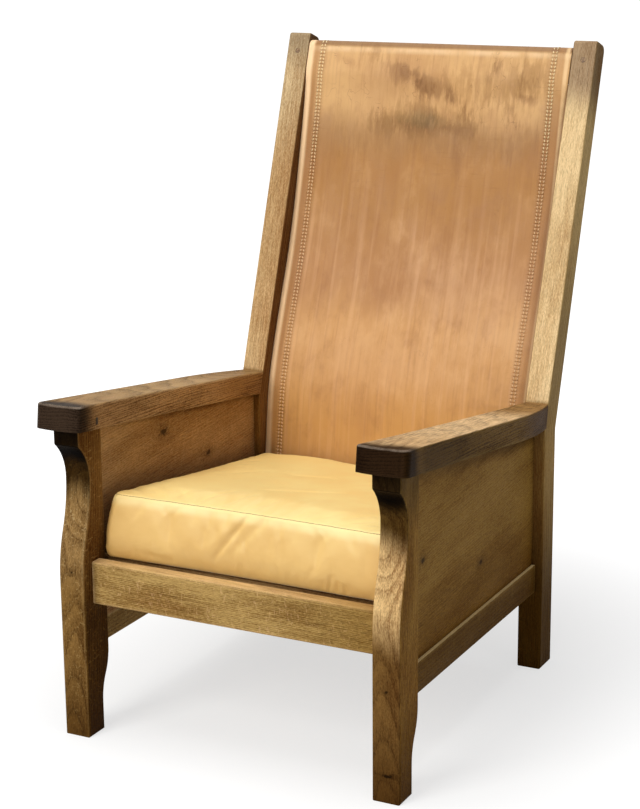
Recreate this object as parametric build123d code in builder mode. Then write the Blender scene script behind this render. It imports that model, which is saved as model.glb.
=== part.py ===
"""Oak smoking chair with a leather sling back and a loose box cushion, in millimetres.

X runs across the chair, +Y runs to its back and +Z runs up. The origin is the middle of its box on the floor.
Left and right are as someone in front of the chair sees them.
"""
import os
from math import atan2, cos, degrees, radians, sin, tan

from build123d import *

os.makedirs("parts", exist_ok=True)

# Front legs
leg_span = 620.0            # over the outer faces of the two front legs
leg_width = 48.0
leg_depth = 68.0
foot_depth = 46.0
block_length = 28.7         # square block under the arm
scoop_length = 62.0         # from the block down to the neck, the deepest point of the front
neck_draw = 29.0
wave_length = 169.0         # from the neck down to the knee, where the front is full again
block_corner_radius = 4.0
calf_height = 142.0         # the back face draws in from here
ankle_height = 52.0         # down to here
leg_tenon_width = 22.0      # tenon into the arm
leg_tenon_depth = 30.0
leg_tenon_height = 26.0

# Back posts
post_inset = 2.5            # inside the legs' outer faces
post_width = 44.5
post_depth = 54.0
post_top_depth = 43.5       # square to the rake
post_rake = 18.7            # degrees from upright
post_height = 1108.5
kink_height = 447.0
back_kink_drop = 7.0        # the back face turns this much lower than the front
back_kink_radius = 40.0
post_top_front_radius = 6.0
post_top_back_radius = 13.0
seat_depth = 610.0          # front face of the legs to front face of the posts

# Rails
front_rail_top = 304.0
front_rail_height = 73.0
front_rail_thickness = 25.0
front_rail_setback = 26.0
side_rail_top = 198.0
side_rail_height = 53.0
side_rail_thickness = 18.0
side_rail_setback = 16.0    # from the leg's outer face
back_rail_top = 205.0
back_rail_height = 60.0
back_rail_thickness = 25.0
back_rail_setback = 23.0    # from the post's front face
top_rail_height = 60.0
top_rail_thickness = 27.0
top_rail_drop = 15.5        # from the post's top to the rail's, along the rake
sling_rail_top = 305.0
sling_rail_height = 55.0
sling_rail_thickness = 22.0
sling_rail_setback = 16.5
rail_round = 9.0            # rounded edges that the sling goes over

# Side panels
panel_thickness = 12.0
panel_housing = 8.0         # depth of the grooves that hold the panel
panel_rebate = 10.0         # the panel's seat in the side rail

# Arms
arm_thickness = 41.6
arm_front_top = 580.0
arm_back_top = 493.0
arm_overhang = 17.0         # in front of the leg
arm_outer_overhang = 20.0   # past the leg's outer face
arm_inner_overhang = 18.0   # past its inner face
arm_taper = 190.0           # the stretch over which the outer edge closes on the post
arm_straight = 24.0         # the last stretch before the post, with straight edges
arm_bow = 7.0               # the front end is slightly round in plan
arm_outer_corner = 17.0
arm_inner_corner = 8.0
arm_tenon_width = 20.0
arm_tenon_height = 22.0

# Joints
tenon_length = 28.0
tenon_thickness = 12.0
tenon_shoulder = 7.0
side_tenon_length = 23.0
side_tenon_thickness = 10.0
top_tenon_length = 34.0
joint_clearance = 0.15
mortise_end_gap = 0.8
peg_diameter = 10.0
peg_length = 30.0
peg_drop = 35.5             # from the post's top, along the rake
plug_width = 5.0
plug_height = 11.0
plug_length = 56.0
plug_setback = 34.0         # from the leg's front face
plug_rise = 14.0            # above the arm's underside
edge_round = 3.0
arm_edge_round = 4.0
overrun = 20.0              # how far a cut runs on past what it cuts, and a tenon into its own piece

# Seat
seat_slope = 7.5            # degrees, down to the back
seat_rise = 0.6             # slats' top above the front rail's, at its back face
slat_count = 6
slat_width = 70.0
slat_thickness = 12.0
slat_end_gap = 4.0
slat_row_gap = 6.0          # from the legs to the first slat and from the last to the posts
bearer_width = 26.0
bearer_height = 34.0
screw_diameter = 4.0
screw_head = 8.0
screw_length = 32.0
screw_clearance = 0.1
screw_inset = 17.0
bearer_screw_setback = 12.0

# Leather sling
sling_thickness = 3.5
sling_side_gap = 1.5
sling_rail_gap = 0.3
sling_sag = 23.0            # furthest that the hide hangs from a straight line between the rails
# Each is a share of the way down and a share of the sag, behind the line or in front of it
sling_sag_shares = ((0.16, 0.2), (0.3, 0.27), (0.45, 0.04), (0.57, -0.45), (0.68, -0.88), (0.78, -1.0),
                    (0.91, -0.5))
sling_top_tail = 42.0       # how far the hide runs down the top rail's back
sling_bottom_tail = 40.0
nail_pitch = 36.0
nail_inset = 14.0           # from the hide's edge
nail_head = 10.0
nail_head_rise = 3.0
nail_shank = 2.2
nail_length = 16.0

# Cushion
cushion_side_gap = 2.0      # to the front legs
cushion_back_gap = 8.7      # to the plane of the back posts' front faces
cushion_height = 108.0      # at its seams
cushion_crown = 9.0
cushion_corner = 16.0
cushion_waist = 7.0         # how far each side draws in between its corners
cushion_edge_inset = 9.0    # the seams lie this far inside the fullest part
cushion_cover = 2.0
cushion_fit = 0.4           # filling inside the cover
cushion_seat_gap = 0.3
cushion_front_setback = 3.0  # behind the front rail's back face
zip_length = 380.0
zip_height = 9.0

# Each is a height share of the seam height and an inset share of the edge inset, from the bottom up
side_profile_shares = ((0.0, 1.0), (0.04, 0.45), (0.14, 0.08), (0.32, 0.0), (0.68, 0.0), (0.88, 0.12),
                       (1.0, 1.0))
# Each is a height share of the crown and an inset share of half the width
crown_profile_shares = ((0.3, 0.07), (0.58, 0.2), (0.82, 0.38), (1.0, 0.66))

# Worked out from the sizes above
left = -1
rake = radians(post_rake)
slope = radians(seat_slope)
leg_outer = leg_span / 2
leg_inner = leg_outer - leg_width
leg_middle = leg_outer - leg_width / 2
arm_outer = leg_outer + arm_outer_overhang
arm_inner_front = leg_inner - arm_inner_overhang
post_outer = leg_outer - post_inset
post_inner = post_outer - post_width
post_middle = post_outer - post_width / 2
post_lean = tan(rake) * (post_height - kink_height)
arm_run = seat_depth + arm_overhang + tan(rake) * (arm_back_top - kink_height)
arm_slope = atan2(arm_front_top - arm_back_top, arm_run)
front_reach = arm_overhang + arm_bow * cos(arm_slope) + (arm_thickness + arm_bow) * sin(arm_slope)
back_reach = seat_depth + post_lean + post_top_depth * cos(rake)
leg_front = (front_reach - back_reach) / 2
leg_back = leg_front + leg_depth
post_front = leg_front + seat_depth
post_back = post_front + post_depth
front_rail_front = leg_front + front_rail_setback
front_rail_back = front_rail_front + front_rail_thickness
side_rail_outer = leg_outer - side_rail_setback
side_rail_inner = side_rail_outer - side_rail_thickness
side_rail_bottom = side_rail_top - side_rail_height
panel_inner = side_rail_inner
panel_outer = panel_inner + panel_thickness
panel_bottom = side_rail_top - panel_rebate
back_rail_front = post_front + back_rail_setback
sling_rail_front = post_front + sling_rail_setback
sling_rail_back = sling_rail_front + sling_rail_thickness
sling_rail_bottom = sling_rail_top - sling_rail_height
seat_height = front_rail_top + seat_rise
seat_up = (0, sin(slope), cos(slope))
sling_reach = sling_rail_gap + sling_thickness

cushion_width = 2 * (leg_inner - cushion_side_gap)
cushion_front = front_rail_back + cushion_front_setback
cushion_length = (post_front - cushion_back_gap - cushion_front) / cos(slope)


def seat_top(y):
    """Height of the slats' upper face at a place from front to back."""
    return seat_height - tan(slope) * (y - front_rail_back)


def bearer_top(y):
    """Height of the bearers' upper face, which the slats lie on, at a place from front to back."""
    return seat_top(y) - slat_thickness / cos(slope)


def arm_bottom(y):
    """Height of the arm's underside at a place from front to back."""
    run = y - leg_front + arm_overhang
    return arm_front_top - tan(arm_slope) * run - arm_thickness / cos(arm_slope)


def on_rake(depth, drop):
    """Y and Z of a point behind the posts' raked front face and below their top, square to each other."""
    return (post_front + post_lean + depth * cos(rake) - drop * sin(rake),
            post_height - depth * sin(rake) - drop * cos(rake))


def block(low, high, mode=Mode.ADD, grow=(0, 0, 0)):
    """A rectangular block between two opposite corners, grown alike at both ends of each axis."""
    ends = [sorted(pair) for pair in zip(low, high)]
    with Locations(tuple(sum(pair) / 2 for pair in ends)):
        Box(*[pair[1] - pair[0] + 2 * more for pair, more in zip(ends, grow)], mode=mode)


def finish(piece, label):
    """Names a finished piece and writes it."""
    piece.part.label = label
    export_step(piece.part, f"parts/{label}.step")


def finish_pair(piece, label):
    """Writes a left-hand piece, and its mirror image for the right."""
    finish(piece, f"{label}_left")
    with BuildPart() as twin:
        mirror(piece.part, about=Plane.YZ)
    finish(twin, f"{label}_right")


def round_sides(piece, radius):
    """Eases every edge of the two flat faces that look along X."""
    fillet(piece.faces().filter_by(Axis.X).edges(), radius=radius)


def front_rail_tenon(side, mode=Mode.ADD, ease=0.0, deeper=0.0):
    """The front rail's tenon, or its mortise where ease and deeper are given."""
    middle = front_rail_front + front_rail_thickness / 2
    block((side * (leg_inner - overrun * (mode == Mode.ADD)), middle - tenon_thickness / 2,
           front_rail_top - front_rail_height + tenon_shoulder),
          (side * (leg_inner + tenon_length + deeper), middle + tenon_thickness / 2,
           front_rail_top - tenon_shoulder), mode, (0, ease, ease))


def side_rail_tenons(side, mode=Mode.ADD, ease=0.0, deeper=0.0):
    """The side rail's two tenons, or their mortises."""
    middle = side * (side_rail_inner + side_rail_thickness / 2)
    half = side_tenon_thickness / 2
    reach = side_tenon_length + deeper
    block((middle - half, leg_back - reach, side_rail_bottom + tenon_shoulder),
          (middle + half, post_front + reach, panel_bottom - tenon_shoulder), mode, (ease, 0, ease))


def cross_rail_tenons(front, thickness, bottom, top, mode=Mode.ADD, ease=0.0, deeper=0.0):
    """Tenons of a level rail between the posts, or their mortises."""
    middle = front + thickness / 2
    reach = post_inner + tenon_length + deeper
    block((-reach, middle - tenon_thickness / 2, bottom + tenon_shoulder),
          (reach, middle + tenon_thickness / 2, top - tenon_shoulder), mode, (0, ease, ease))


def back_rail_tenons(mode=Mode.ADD, ease=0.0, deeper=0.0):
    """Tenons of the back seat rail, or their mortises."""
    cross_rail_tenons(back_rail_front, back_rail_thickness, back_rail_top - back_rail_height, back_rail_top,
                      mode, ease, deeper)


def sling_rail_tenons(mode=Mode.ADD, ease=0.0, deeper=0.0):
    """Tenons of the rail that the sling ends on, or their mortises."""
    cross_rail_tenons(sling_rail_front, sling_rail_thickness, sling_rail_bottom, sling_rail_top,
                      mode, ease, deeper)


def top_rail_tenons(mode=Mode.ADD, ease=0.0, deeper=0.0):
    """Tenons of the raked top rail, or their mortises."""
    middle = sling_reach + top_rail_thickness / 2
    half = tenon_thickness / 2 + ease
    first = top_rail_drop + tenon_shoulder - ease
    last = top_rail_drop + top_rail_height - tenon_shoulder + ease
    with BuildSketch(Plane.YZ) as profile:
        with BuildLine():
            Polyline(on_rake(middle - half, first), on_rake(middle + half, first),
                     on_rake(middle + half, last), on_rake(middle - half, last), close=True)
        make_face()
    extrude(profile.sketch, amount=post_inner + top_tenon_length + deeper, both=True, mode=mode)


def arm_tenon(side, mode=Mode.ADD, ease=0.0, deeper=0.0):
    """The arm's tenon into the post, or its mortise."""
    middle = arm_back_top - arm_thickness / cos(arm_slope) / 2
    face = (side * post_middle, post_front + tan(rake) * (middle - kink_height), middle)
    along = (0, cos(arm_slope), -sin(arm_slope))
    with BuildSketch(Plane(origin=face, x_dir=(1, 0, 0), z_dir=along)) as profile:
        Rectangle(arm_tenon_width + 2 * ease, arm_tenon_height + 2 * ease)
    extrude(profile.sketch, amount=tenon_length + deeper, mode=mode)
    extrude(profile.sketch, amount=-overrun, mode=mode)


def leg_tenon(side, mode=Mode.ADD, ease=0.0, deeper=0.0):
    """The leg's tenon up into the arm, or its mortise."""
    middle = leg_front + leg_depth / 2
    half_width, half_depth = leg_tenon_width / 2, leg_tenon_depth / 2
    top = arm_bottom(middle) + leg_tenon_height + deeper
    block((side * leg_middle - half_width, middle - half_depth, arm_bottom(middle) - overrun),
          (side * leg_middle + half_width, middle + half_depth, top), mode, (ease, ease, 0))


def arm_plug(side, mode=Mode.ADD, ease=0.0):
    """The square plug that runs from the arm's inner edge through the leg's tenon."""
    middle_y = leg_front + plug_setback
    middle_z = arm_bottom(middle_y) + plug_rise
    inner = arm_inner_front + arm_edge_round / 2
    block((side * inner, middle_y - plug_width / 2, middle_z - plug_height / 2),
          (side * (inner + plug_length), middle_y + plug_width / 2, middle_z + plug_height / 2),
          mode, (ease, ease, ease))


def panel_block(side, mode=Mode.ADD, ease=0.0, deeper=0.0):
    """The side panel, or the groove that houses its four edges."""
    front = leg_back - panel_housing + mortise_end_gap - deeper
    back = post_front + panel_housing - mortise_end_gap + deeper
    rise = panel_housing - mortise_end_gap + deeper
    lowest = panel_bottom
    half = panel_thickness / 2 + ease
    with BuildSketch(Plane.YZ.offset(side * (panel_inner + panel_thickness / 2))) as profile:
        with BuildLine():
            Polyline((front, lowest), (back, lowest), (back, arm_bottom(back) + rise),
                     (front, arm_bottom(front) + rise), close=True)
        make_face()
    extrude(profile.sketch, amount=half, both=True, mode=mode)


def top_peg(side, mode=Mode.ADD, ease=0.0, deeper=0.0):
    """The round peg through the post and the top rail's tenon, or its hole."""
    y, z = on_rake(0, peg_drop)
    into = (0, cos(rake), -sin(rake))
    with BuildSketch(Plane(origin=(side * post_middle, y, z), x_dir=(1, 0, 0), z_dir=into)) as profile:
        Circle(peg_diameter / 2 + ease)
    extrude(profile.sketch, amount=peg_length + deeper, mode=mode)


def screw_form(plane, mode=Mode.ADD, ease=0.0):
    """A countersunk wood screw with its head flush at a plane and its shank along the plane's minus Z."""
    head, shank = screw_head / 2 + ease, screw_diameter / 2 + ease
    with BuildSketch(Plane(origin=plane.origin, x_dir=plane.x_dir, z_dir=-plane.y_dir)) as profile:
        with BuildLine():
            Polyline((0, 0), (head, 0), (shank, shank - head), (shank, 2 * shank - screw_length),
                     (0, -screw_length), close=True)
        make_face()
    revolve(profile.sketch, axis=Axis(plane.origin, plane.z_dir), mode=mode)


def slat_middles():
    """Y of each slat's middle, from the front to the back."""
    first = leg_back + slat_row_gap + slat_width / 2
    last = post_front - slat_row_gap - slat_width / 2
    return [first + (last - first) * i / (slat_count - 1) for i in range(slat_count)]


def slat_screw_planes(y):
    """Planes of one slat's four screws, on its upper face."""
    spread = (slat_width / 2 - screw_inset) * cos(slope)
    across = panel_inner - bearer_width / 2
    return [Plane(origin=(side * across, y + end * spread, seat_top(y + end * spread)),
                  x_dir=(1, 0, 0), z_dir=seat_up) for side in (-1, 1) for end in (-1, 1)]


def bearer_screw_planes(side):
    """Planes of one bearer's screws, on its inner face."""
    ys = (leg_back - bearer_screw_setback, (leg_back + post_front) / 2, post_front + bearer_screw_setback)
    inner = side * (panel_inner - bearer_width)
    return [Plane(origin=(inner, y, bearer_top(y) - bearer_height / 2), x_dir=(0, 1, 0), z_dir=(-side, 0, 0))
            for y in ys]


def nail_line(reach, pitch):
    """Evenly spaced places across the sling, a whole number of pitches."""
    count = int(2 * reach // pitch) + 1
    return [(i - (count - 1) / 2) * pitch for i in range(count)]


def top_nail_planes():
    """Planes of the nails on the back of the top rail, where the hide's outer face lies."""
    depth = sling_reach + top_rail_thickness + sling_reach
    y, z = on_rake(depth, top_rail_drop + sling_top_tail - nail_inset)
    reach = post_inner - sling_side_gap - nail_inset
    return [Plane(origin=(x, y, z), x_dir=(1, 0, 0), z_dir=(0, cos(rake), -sin(rake)))
            for x in nail_line(reach, nail_pitch)]


def bottom_nail_planes():
    """Planes of the nails on the back of the sling's lower rail."""
    y, z = sling_rail_back + sling_reach, sling_rail_bottom + sling_bottom_tail - nail_inset
    reach = post_inner - sling_side_gap - nail_inset
    return [Plane(origin=(x, y, z), x_dir=(1, 0, 0), z_dir=(0, 1, 0)) for x in nail_line(reach, nail_pitch)]


def nail_form(plane, mode=Mode.ADD, ease=0.0):
    """A dome-headed nail that stands on a plane, with its shank below."""
    head, shank = nail_head / 2, nail_shank / 2 + ease
    with BuildSketch(Plane(origin=plane.origin, x_dir=plane.x_dir, z_dir=-plane.y_dir)) as profile:
        with BuildLine():
            Polyline((head, 0), (shank, 0), (shank, 2 * shank - nail_length), (0, -nail_length),
                     (0, nail_head_rise))
            ThreePointArc((0, nail_head_rise), (head * sin(radians(45)), nail_head_rise * cos(radians(45))),
                          (head, 0))
        make_face()
    revolve(profile.sketch, axis=Axis(plane.origin, plane.z_dir), mode=mode)


def nail_hole(plane):
    """The shank's hole, cut from the current piece."""
    with Locations(plane):
        Cylinder(nail_shank / 2 + screw_clearance, 2 * nail_length, mode=Mode.SUBTRACT)


# Front legs: square block, scooped neck, full knee, foot drawn in at the back
with BuildPart() as front_leg:
    with BuildSketch(Plane.YZ.offset(left * leg_middle)):
        with BuildLine():
            block_height = arm_bottom(leg_front) - block_length
            neck, neck_height = leg_front + neck_draw, block_height - scoop_length
            knee_height = neck_height - wave_length
            mid_height, ankle_middle = neck_height - wave_length / 2, (ankle_height + calf_height) / 2
            Line((leg_front, 0), (leg_front, knee_height))
            knee_radius = (neck_draw ** 2 + wave_length ** 2) / (4 * neck_draw)
            RadiusArc((leg_front, knee_height), (leg_front + neck_draw / 2, mid_height), knee_radius)
            RadiusArc((leg_front + neck_draw / 2, mid_height), (neck, neck_height), -knee_radius)
            RadiusArc((neck, neck_height), (leg_front, block_height),
                      -(neck_draw ** 2 + scoop_length ** 2) / (2 * neck_draw))
            Polyline((leg_front, block_height), (leg_front, arm_bottom(leg_front)),
                     (leg_back, arm_bottom(leg_back)), (leg_back, calf_height))
            ankle_draw = leg_depth - foot_depth
            ankle_radius = (ankle_draw ** 2 + (calf_height - ankle_height) ** 2) / (4 * ankle_draw)
            RadiusArc((leg_back, calf_height), (leg_back - ankle_draw / 2, ankle_middle), ankle_radius)
            RadiusArc((leg_back - ankle_draw / 2, ankle_middle), (leg_front + foot_depth, ankle_height),
                      -ankle_radius)
            Polyline((leg_front + foot_depth, ankle_height), (leg_front + foot_depth, 0), (leg_front, 0))
        make_face()
        fillet(vertices().sort_by_distance((leg_front, block_height))[0], radius=block_corner_radius)
    extrude(amount=leg_width / 2, both=True)
    eased = front_leg.faces().filter_by(Axis.X).edges()
    fillet([e for e in eased if e.center().Z < arm_bottom(leg_back)], radius=edge_round)
    leg_tenon(left)
    front_rail_tenon(left, Mode.SUBTRACT, joint_clearance, mortise_end_gap)
    side_rail_tenons(left, Mode.SUBTRACT, joint_clearance, mortise_end_gap)
    panel_block(left, Mode.SUBTRACT, joint_clearance, mortise_end_gap)
    arm_plug(left, Mode.SUBTRACT, joint_clearance)
    screw_form(bearer_screw_planes(left)[0], Mode.SUBTRACT, screw_clearance)
finish_pair(front_leg, "front_leg")


# Back posts: one length of oak, kinked at the arm and raked back above it
with BuildPart() as back_post:
    with BuildSketch(Plane.YZ.offset(left * post_middle)):
        with BuildLine():
            Polyline((post_front, 0), (post_front, kink_height), on_rake(0, 0), on_rake(post_top_depth, 0),
                     (post_back, kink_height - back_kink_drop), (post_back, 0), close=True)
        make_face()
        fillet(vertices().sort_by_distance(on_rake(0, 0))[0], radius=post_top_front_radius)
        fillet(vertices().sort_by_distance(on_rake(post_top_depth, 0))[0], radius=post_top_back_radius)
        fillet(vertices().sort_by_distance((post_back, kink_height - back_kink_drop))[0],
               radius=back_kink_radius)
    extrude(amount=post_width / 2, both=True)
    round_sides(back_post, edge_round)
    arm_tenon(left, Mode.SUBTRACT, joint_clearance, mortise_end_gap)
    side_rail_tenons(left, Mode.SUBTRACT, joint_clearance, mortise_end_gap)
    panel_block(left, Mode.SUBTRACT, joint_clearance, mortise_end_gap)
    back_rail_tenons(Mode.SUBTRACT, joint_clearance, mortise_end_gap)
    sling_rail_tenons(Mode.SUBTRACT, joint_clearance, mortise_end_gap)
    top_rail_tenons(Mode.SUBTRACT, joint_clearance, mortise_end_gap)
    top_peg(left, Mode.SUBTRACT, joint_clearance, mortise_end_gap)
    screw_form(bearer_screw_planes(left)[2], Mode.SUBTRACT, screw_clearance)
finish_pair(back_post, "back_post")

# Front seat rail
with BuildPart() as front_rail:
    block((-leg_inner, front_rail_front, front_rail_top - front_rail_height),
          (leg_inner, front_rail_back, front_rail_top))
    fillet(front_rail.edges().filter_by(Axis.X), radius=edge_round)
    for side in (-1, 1):
        front_rail_tenon(side)
finish(front_rail, "front_seat_rail")

# Side rails, with a rebate inside the top edge for the panel
with BuildPart() as side_rail:
    block((left * side_rail_inner, leg_back, side_rail_bottom),
          (left * side_rail_outer, post_front, side_rail_top))
    fillet(side_rail.edges().filter_by(Axis.Y).group_by(Axis.Z)[0], radius=edge_round)
    block((left * (panel_inner - overrun), leg_back, panel_bottom),
          (left * (panel_outer + joint_clearance), post_front, side_rail_top + overrun), Mode.SUBTRACT)
    side_rail_tenons(left)
finish_pair(side_rail, "side_rail")

# Side panels, housed in the leg, the post and the arm and seated on the rail
with BuildPart() as side_panel:
    panel_block(left)
    screw_form(bearer_screw_planes(left)[1], Mode.SUBTRACT, screw_clearance)
finish_pair(side_panel, "side_panel")

# Arms: broad and round at the front, drawn in to the post's width at the back
arm_length = arm_run / cos(arm_slope)
arm_up = (0, sin(arm_slope), cos(arm_slope))
arm_plane = Plane(origin=(0, leg_front - arm_overhang, arm_front_top), x_dir=(1, 0, 0), z_dir=arm_up)
post_face = Plane(origin=(0, post_front, kink_height), x_dir=(1, 0, 0), z_dir=(0, -cos(rake), sin(rake)))
with BuildPart() as arm:
    with BuildSketch(arm_plane):
        with BuildLine():
            ThreePointArc((left * arm_inner_front, 0), (left * (arm_inner_front + arm_outer) / 2, -arm_bow),
                          (left * arm_outer, 0))
            Line((left * arm_outer, 0), (left * arm_outer, arm_length - arm_taper))
            turn = 2 * atan2(arm_outer - post_outer, arm_taper + arm_straight)
            turn_end, past_post = [(left * (post_outer - run * sin(turn)), arm_length + run * cos(turn))
                                   for run in (-arm_straight, overrun)]
            TangentArc((left * arm_outer, arm_length - arm_taper), turn_end, tangent=(0, 1))
            Polyline(turn_end, past_post, (left * post_inner, arm_length + overrun),
                     (left * post_inner, arm_length - arm_straight))
            TangentArc((left * post_inner, arm_length - arm_straight), (left * arm_inner_front, 0),
                       tangent=(0, -1))
        make_face()
        fillet(vertices().sort_by_distance((left * arm_outer, 0))[0], radius=arm_outer_corner)
        fillet(vertices().sort_by_distance((left * arm_inner_front, 0))[0], radius=arm_inner_corner)
    extrude(amount=-arm_thickness)
    fillet(arm.faces().sort_by(Axis((0, 0, 0), arm_up))[-1].edges(), radius=arm_edge_round)
    split(bisect_by=post_face, keep=Keep.TOP)
    arm_tenon(left)
    leg_tenon(left, Mode.SUBTRACT, joint_clearance, mortise_end_gap)
    panel_block(left, Mode.SUBTRACT, joint_clearance, mortise_end_gap)
    arm_plug(left, Mode.SUBTRACT, joint_clearance)
finish_pair(arm, "arm")

# Top rail, raked with the posts and rounded where the sling goes over it
with BuildPart() as top_rail:
    with BuildSketch(Plane.YZ):
        rail_depth = sling_reach + top_rail_thickness
        rail_drop = top_rail_drop + top_rail_height
        with BuildLine():
            Polyline(on_rake(sling_reach, top_rail_drop), on_rake(rail_depth, top_rail_drop),
                     on_rake(rail_depth, rail_drop), on_rake(sling_reach, rail_drop), close=True)
        make_face()
        fillet(vertices(), radius=rail_round)
    extrude(amount=post_inner, both=True)
    top_rail_tenons()
    for side in (-1, 1):
        top_peg(side, Mode.SUBTRACT, joint_clearance, mortise_end_gap)
    for plane in top_nail_planes():
        nail_hole(plane)
finish(top_rail, "top_rail")

# Rail that the sling ends on, behind the cushion
with BuildPart() as sling_rail:
    block((-post_inner, sling_rail_front, sling_rail_bottom), (post_inner, sling_rail_back, sling_rail_top))
    fillet(sling_rail.edges().filter_by(Axis.X), radius=rail_round)
    sling_rail_tenons()
    for plane in bottom_nail_planes():
        nail_hole(plane)
finish(sling_rail, "sling_bottom_rail")

# Back seat rail, low between the posts
with BuildPart() as back_rail:
    block((-post_inner, back_rail_front, back_rail_top - back_rail_height),
          (post_inner, back_rail_front + back_rail_thickness, back_rail_top))
    fillet(back_rail.edges().filter_by(Axis.X), radius=edge_round)
    back_rail_tenons()
finish(back_rail, "back_seat_rail")

# Seat bearers: along the panels, with tongues past the leg and the post to the front and back rails
bearer_inner = panel_inner - bearer_width
with BuildPart() as bearer:
    for outer, front, back in ((panel_inner, leg_back, post_front), (leg_inner, front_rail_back, leg_back),
                               (post_inner, post_front, back_rail_front)):
        with BuildSketch(Plane.YZ.offset(left * bearer_inner)):
            with BuildLine():
                Polyline((front, bearer_top(front)), (back, bearer_top(back)),
                         (back, bearer_top(back) - bearer_height), (front, bearer_top(front) - bearer_height),
                         close=True)
            make_face()
        extrude(amount=left * (outer - bearer_inner))
    for plane in bearer_screw_planes(left):
        screw_form(plane, Mode.SUBTRACT, screw_clearance)
    for y in slat_middles():
        for plane in slat_screw_planes(y):
            screw_form(plane, Mode.SUBTRACT, screw_clearance)
finish_pair(bearer, "seat_bearer")

# Seat slats
for number, y in enumerate(slat_middles(), 1):
    with BuildPart() as slat:
        with BuildSketch(Plane(origin=(0, y, seat_top(y)), x_dir=(1, 0, 0), z_dir=seat_up)):
            Rectangle(2 * (panel_inner - slat_end_gap), slat_width)
        extrude(amount=-slat_thickness)
        top_face = slat.faces().sort_by(Axis((0, 0, 0), seat_up))[-1]
        fillet(top_face.edges().filter_by(Axis.X), radius=edge_round)
        for plane in slat_screw_planes(y):
            screw_form(plane, Mode.SUBTRACT, screw_clearance)
    finish(slat, f"seat_slat_{number}")

# Screws
with BuildPart() as slat_screws:
    for y in slat_middles():
        for plane in slat_screw_planes(y):
            screw_form(plane)
finish(slat_screws, "slat_screws")

with BuildPart() as bearer_screws:
    for side in (-1, 1):
        for plane in bearer_screw_planes(side):
            screw_form(plane)
finish(bearer_screws, "bearer_screws")

# Pegs and plugs
with BuildPart() as top_pegs:
    for side in (-1, 1):
        top_peg(side)
finish(top_pegs, "top_rail_pegs")

with BuildPart() as arm_plugs:
    for side in (-1, 1):
        arm_plug(side)
finish(arm_plugs, "arm_plugs")

# Leather sling: one hide from the back of the top rail, over it, down the back and round the lower rail
def hide_face(out):
    """Draws one face of the hide, at a distance from the rails it bends over, and returns its two ends."""
    over, under = top_rail_drop - out, sling_rail_bottom - out
    bend_drop, bend_height = top_rail_drop + rail_round, sling_rail_bottom + rail_round
    first = on_rake(rail_depth + out, top_rail_drop + sling_top_tail)
    last = (sling_rail_back + out, sling_rail_bottom + sling_bottom_tail)
    sag_start = on_rake(sling_reach - out, rail_drop - rail_round)
    sag_end = (sling_rail_front - out, sling_rail_top - rail_round)
    Line(first, on_rake(rail_depth + out, bend_drop))
    TangentArc(on_rake(rail_depth + out, bend_drop), on_rake(rail_depth - rail_round, over),
               tangent=(sin(rake), cos(rake)))
    Line(on_rake(rail_depth - rail_round, over), on_rake(sling_reach + rail_round, over))
    TangentArc(on_rake(sling_reach + rail_round, over), on_rake(sling_reach - out, bend_drop),
               tangent=(-cos(rake), sin(rake)))
    Line(on_rake(sling_reach - out, bend_drop), sag_start)
    Spline(sag_start, *[(sag_start[0] + (sag_end[0] - sag_start[0]) * down + sling_sag * behind,
                         sag_start[1] + (sag_end[1] - sag_start[1]) * down)
                        for down, behind in sling_sag_shares],
           sag_end, tangents=[(-sin(rake), -cos(rake)), (0, -1)])
    Line(sag_end, (sag_end[0], bend_height))
    TangentArc((sag_end[0], bend_height), (sling_rail_front + rail_round, under), tangent=(0, -1))
    Line((sling_rail_front + rail_round, under), (sling_rail_back - rail_round, under))
    TangentArc((sling_rail_back - rail_round, under), (last[0], bend_height), tangent=(1, 0))
    Line((last[0], bend_height), last)
    return first, last


with BuildPart() as sling:
    with BuildSketch(Plane.YZ) as hide:
        with BuildLine():
            for near, far in zip(hide_face(sling_rail_gap), hide_face(sling_reach)):
                Line(near, far)
        make_face()
    extrude(amount=post_inner - sling_side_gap, both=True)
    for plane in top_nail_planes() + bottom_nail_planes():
        nail_hole(plane)
finish(sling, "leather_sling")
print("flat length of the hide", round(hide.sketch.face().outer_wire().length / 2 - sling_thickness, 1))

for label, planes in (("sling_nails_top", top_nail_planes()), ("sling_nails_bottom", bottom_nail_planes())):
    with BuildPart() as nails:
        for plane in planes:
            nail_form(plane)
    finish(nails, label)

# Cushion: crowned, drawn in between its corners, on the slats
cushion_middle = cushion_front + cushion_length / 2 * cos(slope)
cushion_base = Plane(origin=(0, cushion_middle, seat_top(cushion_middle)), x_dir=(1, 0, 0),
                     z_dir=seat_up).offset(cushion_seat_gap)


def cushion_outline(height, inset):
    """The cushion's outline at a height: round corners joined by sides that draw in."""
    wide, long = cushion_width / 2 - inset, cushion_length / 2 - inset
    full = 1 - inset / (cushion_width / 2)
    corner, waist = cushion_corner * full, cushion_waist * full
    bend = corner * (1 - sin(radians(45)))
    with BuildSketch(cushion_base.offset(height)) as outline:
        with BuildLine():
            for x, y, turn in ((1, 1, True), (-1, 1, False), (-1, -1, True), (1, -1, False)):
                side_end, long_end = (x * wide, y * (long - corner)), (x * (wide - corner), y * long)
                middle = (x * (wide - bend), y * (long - bend))
                if turn:
                    ThreePointArc((side_end[0], -side_end[1]), (x * (wide - waist), 0), side_end)
                    ThreePointArc(side_end, middle, long_end)
                else:
                    ThreePointArc((-long_end[0], long_end[1]), (0, y * (long - waist)), long_end)
                    ThreePointArc(long_end, middle, side_end)
        make_face()
    return outline.sketch


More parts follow.
